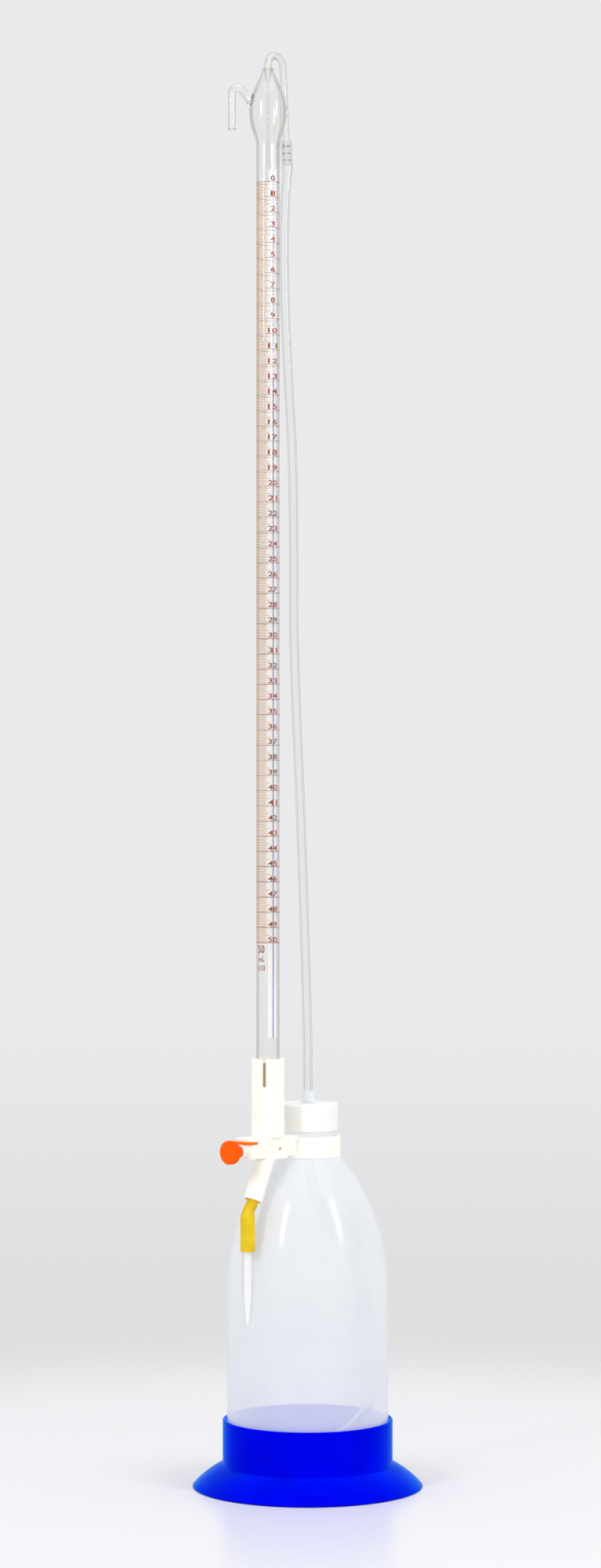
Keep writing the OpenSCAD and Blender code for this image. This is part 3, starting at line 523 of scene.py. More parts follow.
def milky(name, colour, other, clear, dense, roughness, gloss, **sockets):
    """Translucent plastic: thin where it is seen straight, denser towards its edges, glossy outside."""
    material = moulded(name, colour, other, roughness, grain=MILK_GRAIN, bump=MILK_BUMP, **sockets)
    tree = material.node_tree
    edge = node_in(tree, "ShaderNodeLayerWeight")
    edge.inputs["Blend"].default_value = MILK_BLEND
    cover = node_in(tree, "ShaderNodeMapRange")
    cover.inputs["To Min"].default_value = clear
    cover.inputs["To Max"].default_value = dense
    tree.links.new(edge.outputs["Facing"], cover.inputs["Value"])
    tree.links.new(cover.outputs["Result"], tree.nodes["Principled BSDF"].inputs["Alpha"])
    outside = node_in(tree, "ShaderNodeAttribute", attribute_name=OUTSIDE)
    coat = node_in(tree, "ShaderNodeMapRange")
    coat.inputs["To Max"].default_value = gloss
    tree.links.new(outside.outputs["Fac"], coat.inputs["Value"])
    tree.links.new(coat.outputs["Result"], tree.nodes["Principled BSDF"].inputs["Coat Weight"])
    return material


def mark_outside(piece):
    """Gives each point of a piece round the bottle's axis a value: 1 on its outside, 0 on its inside."""
    mesh = piece.data
    values = [float(v.co.x * v.normal.x + v.co.y * v.normal.y >= 0) for v in mesh.vertices]
    mesh.attributes.new(OUTSIDE, "FLOAT", "POINT").data.foreach_set("value", values)


def clear_glass(name, colour, edge, roughness, streak, **sockets):
    """Clear drawn glass or plastic: painted shade that deepens towards its edges as they turn from view,
    and faint streaks along its length.
    """
    material, tree, shader = new_finish(name, **sockets)
    # Painted shade: the colour turns to the edge colour where the surface turns away from view
    rim = node_in(tree, "ShaderNodeLayerWeight")
    rim.inputs["Blend"].default_value = EDGE_SHADE_BLEND
    tree.links.new(blended(tree, rim.outputs["Facing"], colour, edge), shader.inputs["Base Color"])
    lines = surface_noise(tree, STREAK_GRAIN, STREAK_STRETCH, 1.0)
    tree.links.new(ranged(tree, lines, *roughness), shader.inputs["Roughness"])
    relief = node_in(tree, "ShaderNodeBump")
    relief.inputs["Strength"].default_value = streak
    relief.inputs["Distance"].default_value = STREAK_DEPTH
    tree.links.new(lines, relief.inputs["Height"])
    tree.links.new(relief.outputs["Normal"], shader.inputs["Normal"])
    return material


def shade(red, green, blue):
    """Linear colour of a screen colour, 0 to 255: ((c + 0.055) / 1.055) ** 2.4, near black c / 12.92."""
    c = np.array([red, green, blue]) / 255
    return tuple(float(x) for x in np.where(c <= 0.04045, c / 12.92, ((c + 0.055) / 1.055) ** 2.4))


FOOT_BLUE = moulded("foot_blue_gloss", shade(0, 0, 204), shade(0, 3, 226), (0.1, 0.2), bump=0.03,
                    IOR=1.04, Specular_IOR_Level=0.3, Sheen_Weight=0.95, Sheen_Roughness=0.3,
                    Sheen_Tint=(0.0, 0.6, 1.0, 1))
BOTTLE_MILK = milky("bottle_milky_plastic", shade(229, 232, 234), shade(222, 226, 229), clear=0.3,
                    dense=0.62, roughness=(0.3, 0.4), gloss=1.0, IOR=1.08, Coat_Roughness=0.15)
CAP_MILK = moulded("cap_milky_plastic", shade(241, 243, 240), shade(236, 238, 235), (0.28, 0.4),
                   Subsurface_Weight=0.25, Subsurface_Scale=0.004)
GLAND_BLUISH = milky("gland_bluish_plastic", shade(242, 246, 250), shade(234, 240, 247), clear=0.4,
                     dense=0.75, roughness=(0.2, 0.3), gloss=0.4, IOR=1.08, Coat_Roughness=0.15)
LINER_FOAM = moulded("liner_foam", shade(226, 226, 222), shade(208, 208, 204), (0.6, 0.75), bump=0.2)
SEAL_RUBBER = moulded("seal_pale_rubber", shade(232, 235, 238), shade(222, 226, 230), (0.5, 0.65), bump=0.1)
ARM_IVORY = moulded("arm_ivory_plastic", shade(253, 250, 240), shade(248, 245, 233), (0.3, 0.42), bump=0.06,
                    Subsurface_Weight=0.2, Subsurface_Scale=0.002)
KNOB_ORANGE = moulded("knob_orange_plastic", shade(255, 98, 0), shade(250, 88, 0), (0.32, 0.45), bump=0.06,
                      Specular_IOR_Level=0.06)
SLIDE_ORANGE = moulded("slide_orange_plastic", shade(255, 124, 6), shade(248, 110, 2), (0.32, 0.45),
                       bump=0.06, Specular_IOR_Level=0.1)
SLEEVE_TAN = moulded("sleeve_tan_rubber", shade(182, 164, 116), shade(164, 146, 98), (0.55, 0.7), bump=0.15)
HOSE_YELLOW = moulded("hose_yellow_latex", shade(246, 218, 34), shade(198, 152, 6), (0.38, 0.55),
                      grain=420.0, bump=0.5, stretch=(0.35, 0.35, 1), Specular_IOR_Level=0.2)
STEEL = moulded("turned_steel", shade(206, 206, 208), shade(186, 188, 190), (0.18, 0.32), grain=1500.0,
                stretch=(1, 0.05, 1), Metallic=1.0)
# Clear pieces: their own tone, then the painted shade for their edges
BURETTE_GLASS = clear_glass("burette_glass", shade(253, 253, 252), shade(64, 54, 36), (0.0, 0.006),
                            streak=0.02, IOR=1.47, Transmission_Weight=1.0)
TIP_GLASS = clear_glass("tip_drawn_glass", shade(254, 254, 254), shade(84, 81, 75), (0.0, 0.02),
                        streak=0.03, IOR=1.47, Transmission_Weight=0.84)
RISER_CLEAR = clear_glass("riser_clear_plastic", shade(252, 253, 253), shade(80, 84, 90), (0.01, 0.04),
                          streak=0.05, IOR=1.42, Transmission_Weight=1.0)
SCALE_AMBER = moulded("scale_amber_enamel", shade(160, 82, 10), shade(136, 66, 6), (0.4, 0.5),
                      Specular_IOR_Level=0.2)
TENTHS_AMBER = moulded("tenths_amber_enamel", shade(214, 146, 40), shade(198, 126, 26), (0.4, 0.5),
                       Specular_IOR_Level=0.2)
STRIPE_WHITE = moulded("stripe_white_enamel", shade(250, 250, 250), shade(242, 243, 245), (0.35, 0.45))
STRIPE_BLUE = moulded("stripe_blue_enamel", shade(24, 70, 190), shade(18, 58, 170), (0.35, 0.45))

scene = bpy.context.scene
scene.view_settings.view_transform = "Standard"
lens = bpy.data.cameras.new("camera")
lens.lens = LENS
lens.sensor_width = SENSOR
lens.clip_start = CLIP
camera = bpy.data.objects.new("camera", lens)
camera.location = TOWARD * CAMERA_DISTANCE - RIGHT * CAMERA_LEFT + np.array([0, 0, CAMERA_HEIGHT])
camera.rotation_euler = (math.pi / 2, 0, math.radians(VIEW_TURN))
scene.collection.objects.link(camera)
scene.camera = camera


def leg_at(distance):
    """Point on the glass leg, at a distance down it: it leans by LEG_LEAN towards the bottle's axis."""
    lean = math.radians(LEG_LEAN)
    return 0.0, 2 * ARCH_BEND - REACH + distance * math.sin(lean), ARCH_Z - distance * math.cos(lean)


def riser_route():
    """Riser hose: on the leg, down its free run, through the gland and along the curved dip end."""
    free = [(0, y, RISER_BEND_Z + share * (LEG_END_Z - RISER_BEND_Z)) for y, share in RISER_FREE]
    gland = [(0, 0, z) for z in RISER_STRAIGHT]
    turn = math.radians(DIP_TURN)
    dip = [(r * math.cos(turn), r * math.sin(turn), z) for r, z in DIP_POINTS]
    on_leg = [leg_at(LEG_L + d) for d in (-RISER_ON_LEG, 0, RISER_PAST_LEG)]
    return smooth_run([*on_leg, *free, *gland, *dip], RISER_STEP)


riser_path = riser_route()
riser_swell = RISER_SWELL * np.clip((riser_path[:, 2] - LEG_END_Z + RISER_SWELL_L) / RISER_SWELL_L, 0, 1)
riser_pipe = pipe(riser_path, RISER_R + riser_swell, RISER_BORE + riser_swell, TOWARD, 28)
riser = make_piece("riser_tube", [riser_pipe], RISER_CLEAR, "arm", ["riser_hose"])


def foot_outline():
    """Foot in section: the domed rim, the ring with its round lip, the plate under the bottle, the hollow.

    The dome is an arc of FOOT_DOME_BEND through the rim and the ring's foot; the hollow's is one wall
    smaller."""
    rim, top = np.array([FOOT_R, 0.0]), np.array([RING_OUT_R, FOOT_DOME_H])
    chord = top - rim
    half = np.linalg.norm(chord) / 2
    side = np.array([chord[1], -chord[0]]) / (2 * half)
    centre = (rim + top) / 2 - side * math.sqrt(FOOT_DOME_BEND ** 2 - half ** 2)
    start, end = (math.degrees(math.atan2(p[1] - centre[1], p[0] - centre[0])) for p in (rim, top))
    inner = FOOT_DOME_BEND - FOOT_WALL
    under_z = FOOT_FLOOR_Z - FOOT_WALL
    first, last = (math.degrees(math.asin((z - centre[1]) / inner)) for z in (under_z, 0.0))
    lip = FOOT_WALL / 2
    return np.concatenate([
        arc(centre, FOOT_DOME_BEND, start, end, 24),
        arc((RING_IN_R + lip, FOOT_H - lip), lip, 0, 180, 12),
        [[RING_IN_R, FOOT_FLOOR_Z], [0, FOOT_FLOOR_Z], [0, under_z]],
        arc(centre, inner, first, last, 20)])


def bottle_outline():
    """Bottle in section: straight side, swelling shoulder, the collar's seat and the neck, thin-walled."""
    shoulder = ((BOTTLE_R, SHOULDER_Z), (BOTTLE_R, SHOULDER_Z + SHOULDER_RISE),
                (LEDGE_R + SHOULDER_OUT, LEDGE_Z - SHOULDER_UNDER), (LEDGE_R, LEDGE_Z))
    bottom = (BOTTLE_R - BOTTOM_ROUND, FOOT_FLOOR_Z + BOTTOM_ROUND)
    inner = curve(*shoulder, 48, BOTTLE_WALL)
    seat_in, neck_in = SEAT_R - NECK_WALL, NECK_R - NECK_WALL
    neck = rounded([
        (SEAT_R, LEDGE_Z, 0), (SEAT_R, SEAT_Z, NECK_EDGE), (NECK_R, SEAT_Z, NECK_EDGE),
        (NECK_R, RIM_Z, NECK_EDGE), (neck_in, RIM_Z, NECK_EDGE),
        (neck_in, SEAT_Z - NECK_WALL, NECK_INNER_EDGE), (seat_in, SEAT_Z - NECK_WALL, NECK_INNER_EDGE),
        (seat_in, inner[-1][1], 0)])
    return np.concatenate([
        [[0, FOOT_FLOOR_Z]], arc(bottom, BOTTOM_ROUND, -90, 0, 10), curve(*shoulder, 48), neck, inner[::-1],
        arc(bottom, BOTTOM_ROUND - BOTTLE_WALL, 0, -90, 10), [[0, FOOT_FLOOR_Z + BOTTLE_WALL]]])


def bulb_curves(inset):
    """Overflow bulb in section: from the tube out to its greatest width, and in again to its top."""
    low = curve((TUBE_R, BULB_Z), (TUBE_R, BULB_Z + BULB_RISE), (BULB_R, BULB_MID_Z - BULB_UNDER),
                (BULB_R, BULB_MID_Z), 24, inset)
    high = curve((BULB_R, BULB_MID_Z), (BULB_R, BULB_MID_Z + BULB_OVER),
                 (BULB_TOP_R + BULB_TOP_OUT, BULB_TOP_Z - BULB_TOP_UNDER), (BULB_TOP_R, BULB_TOP_Z),
                 24, inset)
    return low, high


def burette_outline():
    """Graduated tube in section: nozzle, cone, tube, bulb and the mouth for the filling tube."""
    cone_z = NOZZLE_Z + NOZZLE_L
    lip_z, pull_z, tube_z = (cone_z + h for h in (NOZZLE_LIP, NOZZLE_PULL, NOZZLE_CONE))
    bore = TUBE_R - TUBE_WALL
    mouth = FILL_R + FUSE_GAP
    low, high = bulb_curves(0.0)
    low_in = bulb_curves(TUBE_WALL)[0]
    high_in = bulb_curves(BULB_WALL)[1]
    high_in = high_in[high_in[:, 0] > mouth + MOUTH_LIP]
    return np.concatenate([
        [[NOZZLE_R, NOZZLE_Z], [NOZZLE_R, cone_z]],
        curve((NOZZLE_R, lip_z), (NOZZLE_R, pull_z), (TUBE_R, pull_z), (TUBE_R, tube_z), 10),
        low, high, [[mouth, BULB_TOP_Z], [mouth, high_in[-1][1]]], high_in[::-1], low_in[::-1],
        curve((bore, tube_z), (bore, pull_z + NOZZLE_LIP), (NOZZLE_BORE, pull_z), (NOZZLE_BORE, lip_z), 10),
        [[NOZZLE_BORE, NOZZLE_Z]]])


def tip_outline():
    """Drawn glass tip in section: a stem, a taper that thins smoothly, and a fire-polished end."""
    taper_z = TIP_Z + TIP_TAPER
    lip_z, low_z, high_z = TIP_Z + TIP_LIP, TIP_Z + TIP_PULL, taper_z - TIP_PULL
    bore = TIP_R - TIP_WALL
    return np.concatenate([
        [[TIP_END_R - TIP_POLISH, TIP_Z], [TIP_END_R, TIP_Z + TIP_POLISH]],
        curve((TIP_END_R, lip_z), (TIP_END_R + TIP_OUT, low_z), (TIP_R, high_z), (TIP_R, taper_z), 16),
        [[TIP_R, TIP_TOP - TIP_EDGE], [TIP_R - TIP_EDGE, TIP_TOP], [bore, TIP_TOP]],
        curve((bore, taper_z), (bore, high_z), (TIP_BORE_R + TIP_BORE_OUT, low_z), (TIP_BORE_R, lip_z), 16),
        [[TIP_BORE_R, TIP_Z]]])


def fill_glass():
    """Filling tube: the fine tube up from the zero mark, a cone, the arch and the leg with barbs."""
    cone_z = BULB_TOP_Z - FILL_JOINT - FILL_CONE
    fine = [(-REACH, z, CAPILLARY_R, CAPILLARY_BORE) for z in np.linspace(ZERO_Z, cone_z, 6)]
    share = np.linspace(0.1, 1, 10)
    ease = share * share * (3 - 2 * share)
    cone = [(-REACH, cone_z + FILL_CONE * t, CAPILLARY_R + (FILL_R - CAPILLARY_R) * e,
             CAPILLARY_BORE + (FILL_BORE - CAPILLARY_BORE) * e) for t, e in zip(share, ease)]
    over = [(y, z, FILL_R, FILL_BORE)
            for y, z in arc((ARCH_BEND - REACH, ARCH_Z), ARCH_BEND, 180, LEG_LEAN, 28)]
    barbs_at = LEG_L - BARB_N * BARB_L
    barbs = [(barbs_at + BARB_L * i + d, r) for i in range(BARB_N) for d, r in BARB_ROWS]
    leg = [(LEG_START, FILL_R), (barbs_at, FILL_R), *barbs]
    down = [(leg_at(d)[1], leg_at(d)[2], r, FILL_BORE) for d, r in leg]
    rows = np.array([*fine, *cone, *over, *down])
    path = np.stack([np.zeros(len(rows)), rows[:, 0], rows[:, 1]], -1)
    return pipe(path, rows[:, 2], rows[:, 3], (1, 0, 0), 28)


def vent_glass():
    """Vent hook: the leg up, the bend over and the branch down, whose flared end lies on the bulb."""
    top = 90 - VENT_DOWN
    over = arc((VENT_BEND - VENT_REACH, VENT_Z), VENT_BEND, 180, top, 24)
    way = np.array([math.sin(math.radians(top)), -math.cos(math.radians(top))])
    along = np.concatenate([[VENT_STEP], np.linspace(VENT_BRANCH - VENT_FLARE_L, VENT_BRANCH, 8)])
    flare = np.clip(1 - (VENT_BRANCH - along) / VENT_FLARE_L, 0, 1) ** 2
    line = np.concatenate([[[-VENT_REACH, VENT_Z - VENT_LEG], [-VENT_REACH, VENT_Z - VENT_STEP]], over,
                           over[-1] + along[:, None] * way])
    grow = np.concatenate([np.zeros(len(over) + 2), flare * (VENT_FLARE_R - VENT_R)])
    turn = math.radians(VENT_TURN)
    around = np.array([math.sin(turn), math.cos(turn)])
    path = np.stack([line[:, 0] * around[0], line[:, 0] * around[1] - REACH, line[:, 1]], -1)
    points, faces = pipe(path, VENT_R + grow, VENT_R - VENT_WALL + grow, (around[1], -around[0], 0), 40)
    bulb = np.concatenate(bulb_curves(0))
    flat = points[:, :2] + (0, REACH)
    clear = (np.interp(points[:, 2], bulb[:, 1], bulb[:, 0]) + FUSE_GAP) / np.hypot(*flat.T)
    points[:, :2] = flat * np.maximum(clear, 1)[:, None] - (0, REACH)
    return points, faces


def knob_surface():
    """Knob as a surface of revolution about the screw, its edge grooved KNURL_N times round.

    Radius = outline - depth * (0.5 - 0.5 cos(KNURL_N a)) ** 2, fading out KNURL_REACH in from the edge."""
    back = KNOB_S - KNOB_T
    dimple_t = KNOB_T - DIMPLE_DEPTH
    rows = rounded([(0, HUB_S - back, 0), (HUB_R, HUB_S - back, 0.3), (HUB_R, 0, 0.3), (KNOB_R, 0, 0.6),
                    (KNOB_R, KNOB_T, 0.6), (DIMPLE_R, KNOB_T, 0.15), (DIMPLE_R, dimple_t, 0),
                    (0, dimple_t, 0)])
    a = np.arange(KNOB_SIDES) * 2 * math.pi / KNOB_SIDES
    near_edge = np.clip((rows[:, 0] - KNOB_R + KNURL_REACH) / KNURL_REACH, 0, 1)[:, None]
    groove = (0.5 - 0.5 * np.cos(KNURL_N * a)) ** 2
    r = rows[:, :1] - KNURL_DEPTH * near_edge * groove
    t = np.broadcast_to(back + rows[:, 1:], r.shape)
    points = np.stack([r * np.cos(a), -t, SCREW_Z + r * np.sin(a)], -1)
    return points.reshape(-1, 3), grid_faces(len(rows), len(a), wrap_rows=False)


def spout_at(distance):
    """Point on the spout's axis, s and z, at a distance down it."""
    tilt = math.radians(SPOUT_TILT)
    return REACH + distance * math.sin(tilt), SPOUT_Z - distance * math.cos(tilt)


def valve_hose_surface():
    """Soft hose: rows of s, z, half width, half thickness and wall, smoothed; flat where the pin is.

    Where it is free, wrinkles ride on its radius: WRINKLE sin(2 pi d / WRINKLE_PITCH) at d along it."""
    free = (HOSE_R, HOSE_R, HOSE_WALL)
    rows = smooth_run([
        (REACH, NOZZLE_Z + HOSE_UP_NOZZLE, *HOSE_ON_NOZZLE),
        (REACH, NOZZLE_Z - HOSE_NARROWS[0], *HOSE_ON_NOZZLE), (REACH, NOZZLE_Z - HOSE_NARROWS[1], *free),
        *((s, PINCH_Z + up, wide, thick, HOSE_WALL - thin) for s, up, wide, thick, thin in PINCH_ROWS),
        *((*spout_at(d), *free) for d in HOSE_DOWN_SPOUT),
        (TIP_S - HOSE_BEND[0], TIP_TOP + HOSE_BEND[1], *free),
        *((TIP_S, TIP_TOP + up, *HOSE_ON_TIP) for up in HOSE_HOLDS)], HOSE_STEP)
    path = np.stack([np.zeros(len(rows)), -rows[:, 0], rows[:, 1]], -1)
    along = np.concatenate([[0], np.cumsum(np.linalg.norm(np.diff(path, axis=0), axis=1))])
    free_part = np.clip((SPOUT_END_Z - rows[:, 1]) / WRINKLE_LEAD, 0, 1)[:, None]
    wrinkle = WRINKLE * free_part * np.sin(2 * math.pi * along / WRINKLE_PITCH)[:, None]
    return pipe(path, rows[:, 2:4] + wrinkle, rows[:, 2:4] - rows[:, 4:5], (1, 0, 0), 40)


def tube_points(turn, radius, height):
    """Points about the burette's axis: turn is in radians from the camera's side, positive to the right."""
    around = np.cos(turn)[..., None] * TOWARD + np.sin(turn)[..., None] * RIGHT
    points = radius[..., None] * around
    points[..., 1] -= REACH
    points[..., 2] = height
    return points


def tube_bands(start, end, heights, thick, inner, outer, segments):
    """Thin curved slabs on the tube, one at each height, over one turn in degrees and between two radii."""
    turn = np.radians(np.linspace(start, end, segments + 1))
    corner = np.array([(inner, -0.5), (outer, -0.5), (outer, 0.5), (inner, 0.5)])
    shape = (len(heights), segments + 1, 4)
    z = np.asarray(heights, float)[:, None, None] + thick * corner[:, 1]
    points = tube_points(np.broadcast_to(turn[:, None], shape), np.broadcast_to(corner[:, 0], shape),
                         np.broadcast_to(z, shape))
    count = 4 * (segments + 1)
    one = np.concatenate([grid_faces(segments + 1, 4, wrap_rows=False), [[3, 2, 1, 0]],
                          4 * segments + np.array([[0, 1, 2, 3]])])
    return points.reshape(-1, 3), (one + count * np.arange(len(heights))[:, None, None]).reshape(-1, 4)


def tube_text(words, tall, wide, turn, low):
    """Upright words wrapped on the tube: x becomes a turn of x / radius, y the height above low."""
    line = bpy.data.curves.new("lettering", "FONT")
    line.body = words
    line.extrude = LETTER_DEPTH
    line.offset = LETTER_BOLD
    line.resolution_u = 3
    holder = bpy.data.objects.new("lettering", line)
    mesh = bpy.data.meshes.new_from_object(holder)
    mesh.calc_loop_triangles()
    flat = np.array([v.co for v in mesh.vertices])
    faces = np.array([t.vertices for t in mesh.loop_triangles])
    bpy.data.objects.remove(holder)
    bpy.data.curves.remove(line)
    bpy.data.meshes.remove(mesh)
    low_corner, size = flat.min(0), np.ptp(flat, axis=0)
    x, y, depth = ((flat - low_corner) / size).T
    radius = TUBE_R + INK_IN + depth * (INK_OUT - INK_IN)
    return tube_points(math.radians(turn) + (x - 0.5) * wide / TUBE_R, radius, low + y * tall), faces


def scale_marks():
    """The 50 mL scale: its tenths and halves, and apart from them its whole marks, figures and words."""
    tenth = SCALE_L / SCALE_STEPS
    step = np.arange(SCALE_STEPS + 1)
    heights = ZERO_Z - tenth * step
    inks = TUBE_R + INK_IN, TUBE_R + INK_OUT
    parts = [tube_bands(*TENTH_TURN, heights[step % 5 != 0], TICK, *inks, 6),
             tube_bands(*HALF_TURN, heights[(step % 5 == 0) & (step % 10 != 0)], TICK, *inks, 8)]
    shells = [tube_bands(*WHOLE_TURN, heights[step % 10 == 0], TICK, *inks, 36)]
    shells += [tube_text(str(n), FIGURE_H, FIGURE_W[n > 9], FIGURE_TURN,
                         ZERO_Z - 10 * tenth * n + FIGURE_RISE) for n in range(SCALE_STEPS // 10 + 1)]
    shells += [tube_text(words, tall, wide, WORDS_TURN, low) for words, tall, wide, low in WORDS]
    return parts, shells


def softened(node, material, body, edge=0.3):
    """A copy of a CAD node, its loose triangles merged, its flat faces joined and its edges rounded."""
    mesh = NODES[node].data.copy()
    work = bmesh.new()
    work.from_mesh(mesh)
    bmesh.ops.remove_doubles(work, verts=work.verts, dist=JOIN)
    bmesh.ops.dissolve_limit(work, angle_limit=math.radians(FLAT_ANGLE), verts=work.verts, edges=work.edges)
    work.to_mesh(mesh)
    work.free()
    piece = finish_piece(f"{node}_finished", mesh, material, body, [node], COPY_SHARP)
    soft = piece.modifiers.new("edge", "BEVEL")
    soft.width = edge * MM
    soft.segments = BEVEL_STEPS
    soft.limit_method = "ANGLE"
    soft.angle_limit = math.radians(BEVEL_ANGLE)
    soft.harden_normals = True


THREAD_HALVES = (-THREAD_LOW_H, THREAD_LOW_H, THREAD_TOP_H, -THREAD_TOP_H)
THREAD_IN, THREAD_CREST = NECK_R - THREAD_ROOT, NECK_R + THREAD_DEPTH
THREAD = np.array(list(zip((THREAD_IN, THREAD_IN, THREAD_CREST, THREAD_CREST), THREAD_HALVES)))
CAP_THREAD_IN, CAP_CREST = CAP_BORE + THREAD_ROOT, NECK_R + CAP_THREAD_GAP
CAP_THREAD = np.array([(r, -h) for r, h in zip((CAP_THREAD_IN, CAP_THREAD_IN, CAP_CREST, CAP_CREST),
                                               THREAD_HALVES)])
CAP_OUTLINE = rounded([
    (CAP_BORE, CAP_Z, 0.3), (CAP_R, CAP_Z, 0.4), (CAP_R, CAP_TOP_Z, 1.3),
    (GLAND_R + GLAND_PLAY, CAP_TOP_Z, 0.3), (GLAND_R + GLAND_PLAY, CAP_CEILING_Z, 0),
    (CAP_BORE, CAP_CEILING_Z, 0.5)])
GLAND_OUTLINE = rounded([
    (HOSE_HOLE_R, GLAND_Z, 0.2), (GLAND_R, GLAND_Z, 0.2), (GLAND_R, FLANGE_Z, 0), (FLANGE_R, FLANGE_Z, 0.3),
    (FLANGE_R, FLANGE_TOP_Z, 0.3), (GLAND_R, FLANGE_TOP_Z, 0), (GLAND_R, GLAND_TOP_Z, 0.4),
    (HOSE_HOLE_R, GLAND_TOP_Z, 0.3)])

make_piece("foot", [lathe(foot_outline(), sides=160)], FOOT_BLUE, "base", ["foot_ring"])
bottle = make_piece("squeeze_bottle", [lathe(bottle_outline(), sides=160),
                                       helix_ridge(THREAD, SEAT_Z + THREAD_START)],
                    BOTTLE_MILK, "base", ["bottle"])
mark_outside(bottle)
make_piece("bottle_cap", [lathe(CAP_OUTLINE), helix_ridge(CAP_THREAD, SEAT_Z + CAP_THREAD_START)], CAP_MILK,
           "cap", ["screw_cap"])
gland = make_piece("hose_gland", [lathe(GLAND_OUTLINE, sides=64)], GLAND_BLUISH, "cap_carrier",
                   ["hose_nipple"])
mark_outside(gland)
make_piece("graduated_tube", [lathe(burette_outline(), REACH, 80)], BURETTE_GLASS, "arm", ["burette_tube"])
make_piece("filling_tube", [fill_glass()], BURETTE_GLASS, "arm", ["fill_tube"])
make_piece("glass_tip", [lathe(tip_outline(), TIP_S, 56)], TIP_GLASS, "arm", ["dispensing_tip"])
make_piece("latex_hose", [valve_hose_surface()], HOSE_YELLOW, "arm", ["valve_hose"])
make_piece("grooved_knob", [knob_surface()], KNOB_ORANGE, "knob", ["fine_knob"])
tenth_shells, whole_shells = scale_marks()
make_piece("scale", whole_shells, SCALE_AMBER, "arm")
make_piece("scale_tenths", tenth_shells, TENTHS_AMBER, "arm")
# Stripe and its line on the back of the glass: turn from and to, steps off the glass, segments and finish
STRIPES = (("scale_stripe", (120, 180), (0.012, 0.02), 16, STRIPE_WHITE),
           ("scale_line", (147, 153), (0.004, 0.01), 4, STRIPE_BLUE))
for name, turns, steps, segments, finish in STRIPES:
    band = tube_bands(*turns, [(STRIPE_TOP + STRIPE_LOW) / 2], STRIPE_TOP - STRIPE_LOW,
                      TUBE_R + steps[0], TUBE_R + steps[1], segments)
    make_piece(name, [band], finish, "arm")
make_piece("vent_tube", [vent_glass()], BURETTE_GLASS, "arm", ["vent_hook"])
for node in ("valve_housing", "outlet_spout", "burette_holder"):
    softened(node, ARM_IVORY, "arm")
softened("pinch_slide", SLIDE_ORANGE, "slider", 0.2)

CARRIED = {"burette_sleeve": SLEEVE_TAN, "cap_liner": LINER_FOAM, "hose_seal": SEAL_RUBBER,
           "pinch_pin": STEEL, "fine_screw": STEEL, "thrust_washer": STEEL}
for node, finish in CARRIED.items():
    NODES[node].data.materials.clear()
    NODES[node].data.materials.append(finish)

# The spring: a smooth copy of the CAD spring on no body, its place baked into its points
spring = finish_piece("coil_spring", NODES["return_spring"].data.copy(), STEEL, None, ["return_spring"],
                      SPRING_SHARP)
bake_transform(spring)


def stage_piece(name, points, quads, material):
    """A piece of the stage: a mesh in metres that isn't part of the object."""
    mesh = bpy.data.meshes.new(name)
    mesh.from_pydata(np.asarray(points).tolist(), [], np.asarray(quads).tolist())
    mesh.materials.append(material)
    piece = bpy.data.objects.new(name, mesh)
    scene.collection.objects.link(piece)
    return piece


def floor_finish():
    """Pale floor that fades out between the two distances of FLOOR_FADE from the middle."""
    material, tree, shader = new_finish("pale_floor", Base_Color=(0.76, 0.76, 0.775, 1), Roughness=0.28,
                                        Specular_IOR_Level=0.2)
    where = node_in(tree, "ShaderNodeTexCoord")
    reach = node_in(tree, "ShaderNodeVectorMath", operation="LENGTH")
    fade = node_in(tree, "ShaderNodeMapRange", interpolation_type="SMOOTHSTEP")
    fade.inputs["From Min"].default_value = FLOOR_FADE[0]
    fade.inputs["From Max"].default_value = FLOOR_FADE[1]
    fade.inputs["To Min"].default_value = 1.0
    fade.inputs["To Max"].default_value = 0.0
    tree.links.new(where.outputs["Object"], reach.inputs[0])
    tree.links.new(reach.outputs["Value"], fade.inputs["Value"])
    tree.links.new(fade.outputs["Result"], shader.inputs["Alpha"])
    return material


def area_light(name, place, aim, size, power):
    """Softbox at a place (toward the camera, right, up), aimed at a height on the bottle's axis."""
    lamp = bpy.data.lights.new(name, "AREA")
    lamp.shape = "RECTANGLE"
    lamp.size, lamp.size_y = size
    lamp.energy = power
    held = bpy.data.objects.new(name, lamp)
    held.location = TOWARD * place[0] + RIGHT * place[1] + np.array([0, 0, place[2]])
    held.rotation_euler = (Vector((0, 0, aim)) - held.location).to_track_quat("-Z", "Y").to_euler()
    scene.collection.objects.link(held)


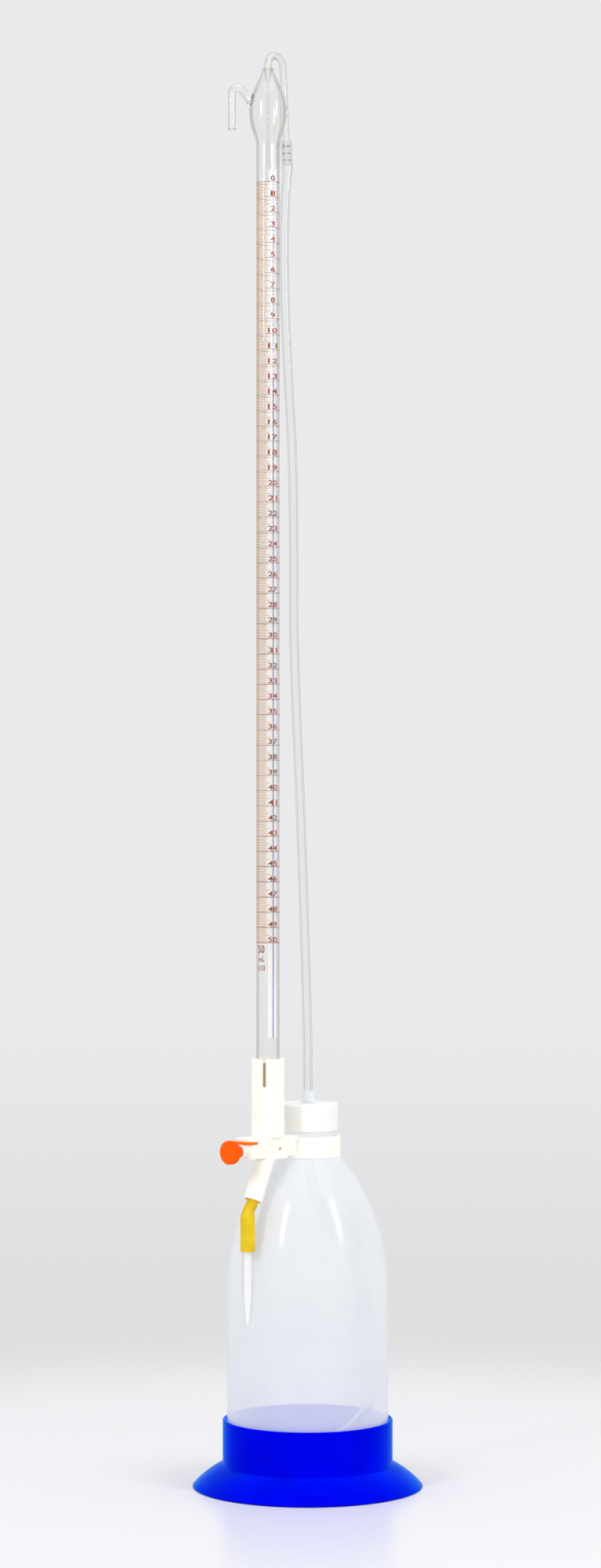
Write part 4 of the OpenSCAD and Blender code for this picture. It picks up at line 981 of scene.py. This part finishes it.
# Light reaches what is inside or behind the clear and milky pieces, as through real glass and plastic
for name in ("graduated_tube", "filling_tube", "vent_tube", "glass_tip", "riser_tube", "squeeze_bottle",
             "bottle_cap", "hose_gland"):
    bpy.data.objects[name].visible_shadow = False
    bpy.data.objects[name].visible_diffuse = False
for name in ("valve_housing_finished", "outlet_spout_finished"):
    bpy.data.objects[name].visible_shadow = False

floor_turn = np.arange(FLOOR_SIDES) * 2 * math.pi / FLOOR_SIDES
floor_rim = np.stack([FLOOR_R * np.cos(floor_turn), FLOOR_R * np.sin(floor_turn),
                      np.full(FLOOR_SIDES, FLOOR_Z)], -1)
stage_piece("floor", floor_rim, [np.arange(FLOOR_SIDES)], floor_finish())

# Pale tan screens beside the object, which only the clear pieces show, as lines along their edges
screen_tan = new_finish("tan_screen", Base_Color=(0.6, 0.55, 0.47, 1), Roughness=0.9)[0]
for name, side in (("screen_left", -1), ("screen_right", 1)):
    near, far = (depth * TOWARD + side * SCREEN_REACH * RIGHT for depth in SCREEN_DEPTH)
    tall = np.array([0, 0, SCREEN_H])
    screen = stage_piece(name, [near, far, far + tall, near + tall], [(0, 1, 2, 3)], screen_tan)
    screen.visible_camera = False
    screen.visible_diffuse = False
    screen.visible_glossy = False
    screen.visible_shadow = False

world = bpy.data.worlds.new("pale_room")
world.use_nodes = True
room_where = node_in(world.node_tree, "ShaderNodeTexCoord")
room_up = node_in(world.node_tree, "ShaderNodeSeparateXYZ")
room_shade = node_in(world.node_tree, "ShaderNodeMapRange", interpolation_type="SMOOTHSTEP")
room_shade.inputs["From Min"].default_value = ROOM_RISE[0]
room_shade.inputs["From Max"].default_value = ROOM_RISE[1]
room_tone = blended(world.node_tree, room_shade.outputs["Result"], shade(223, 223, 224),
                    shade(234, 234, 236))
world.node_tree.links.new(room_where.outputs["Generated"], room_up.inputs["Vector"])
world.node_tree.links.new(room_up.outputs["Z"], room_shade.inputs["Value"])
world.node_tree.links.new(room_tone, world.node_tree.nodes["Background"].inputs["Color"])
scene.world = world
for light in LIGHTS:
    area_light(*light)
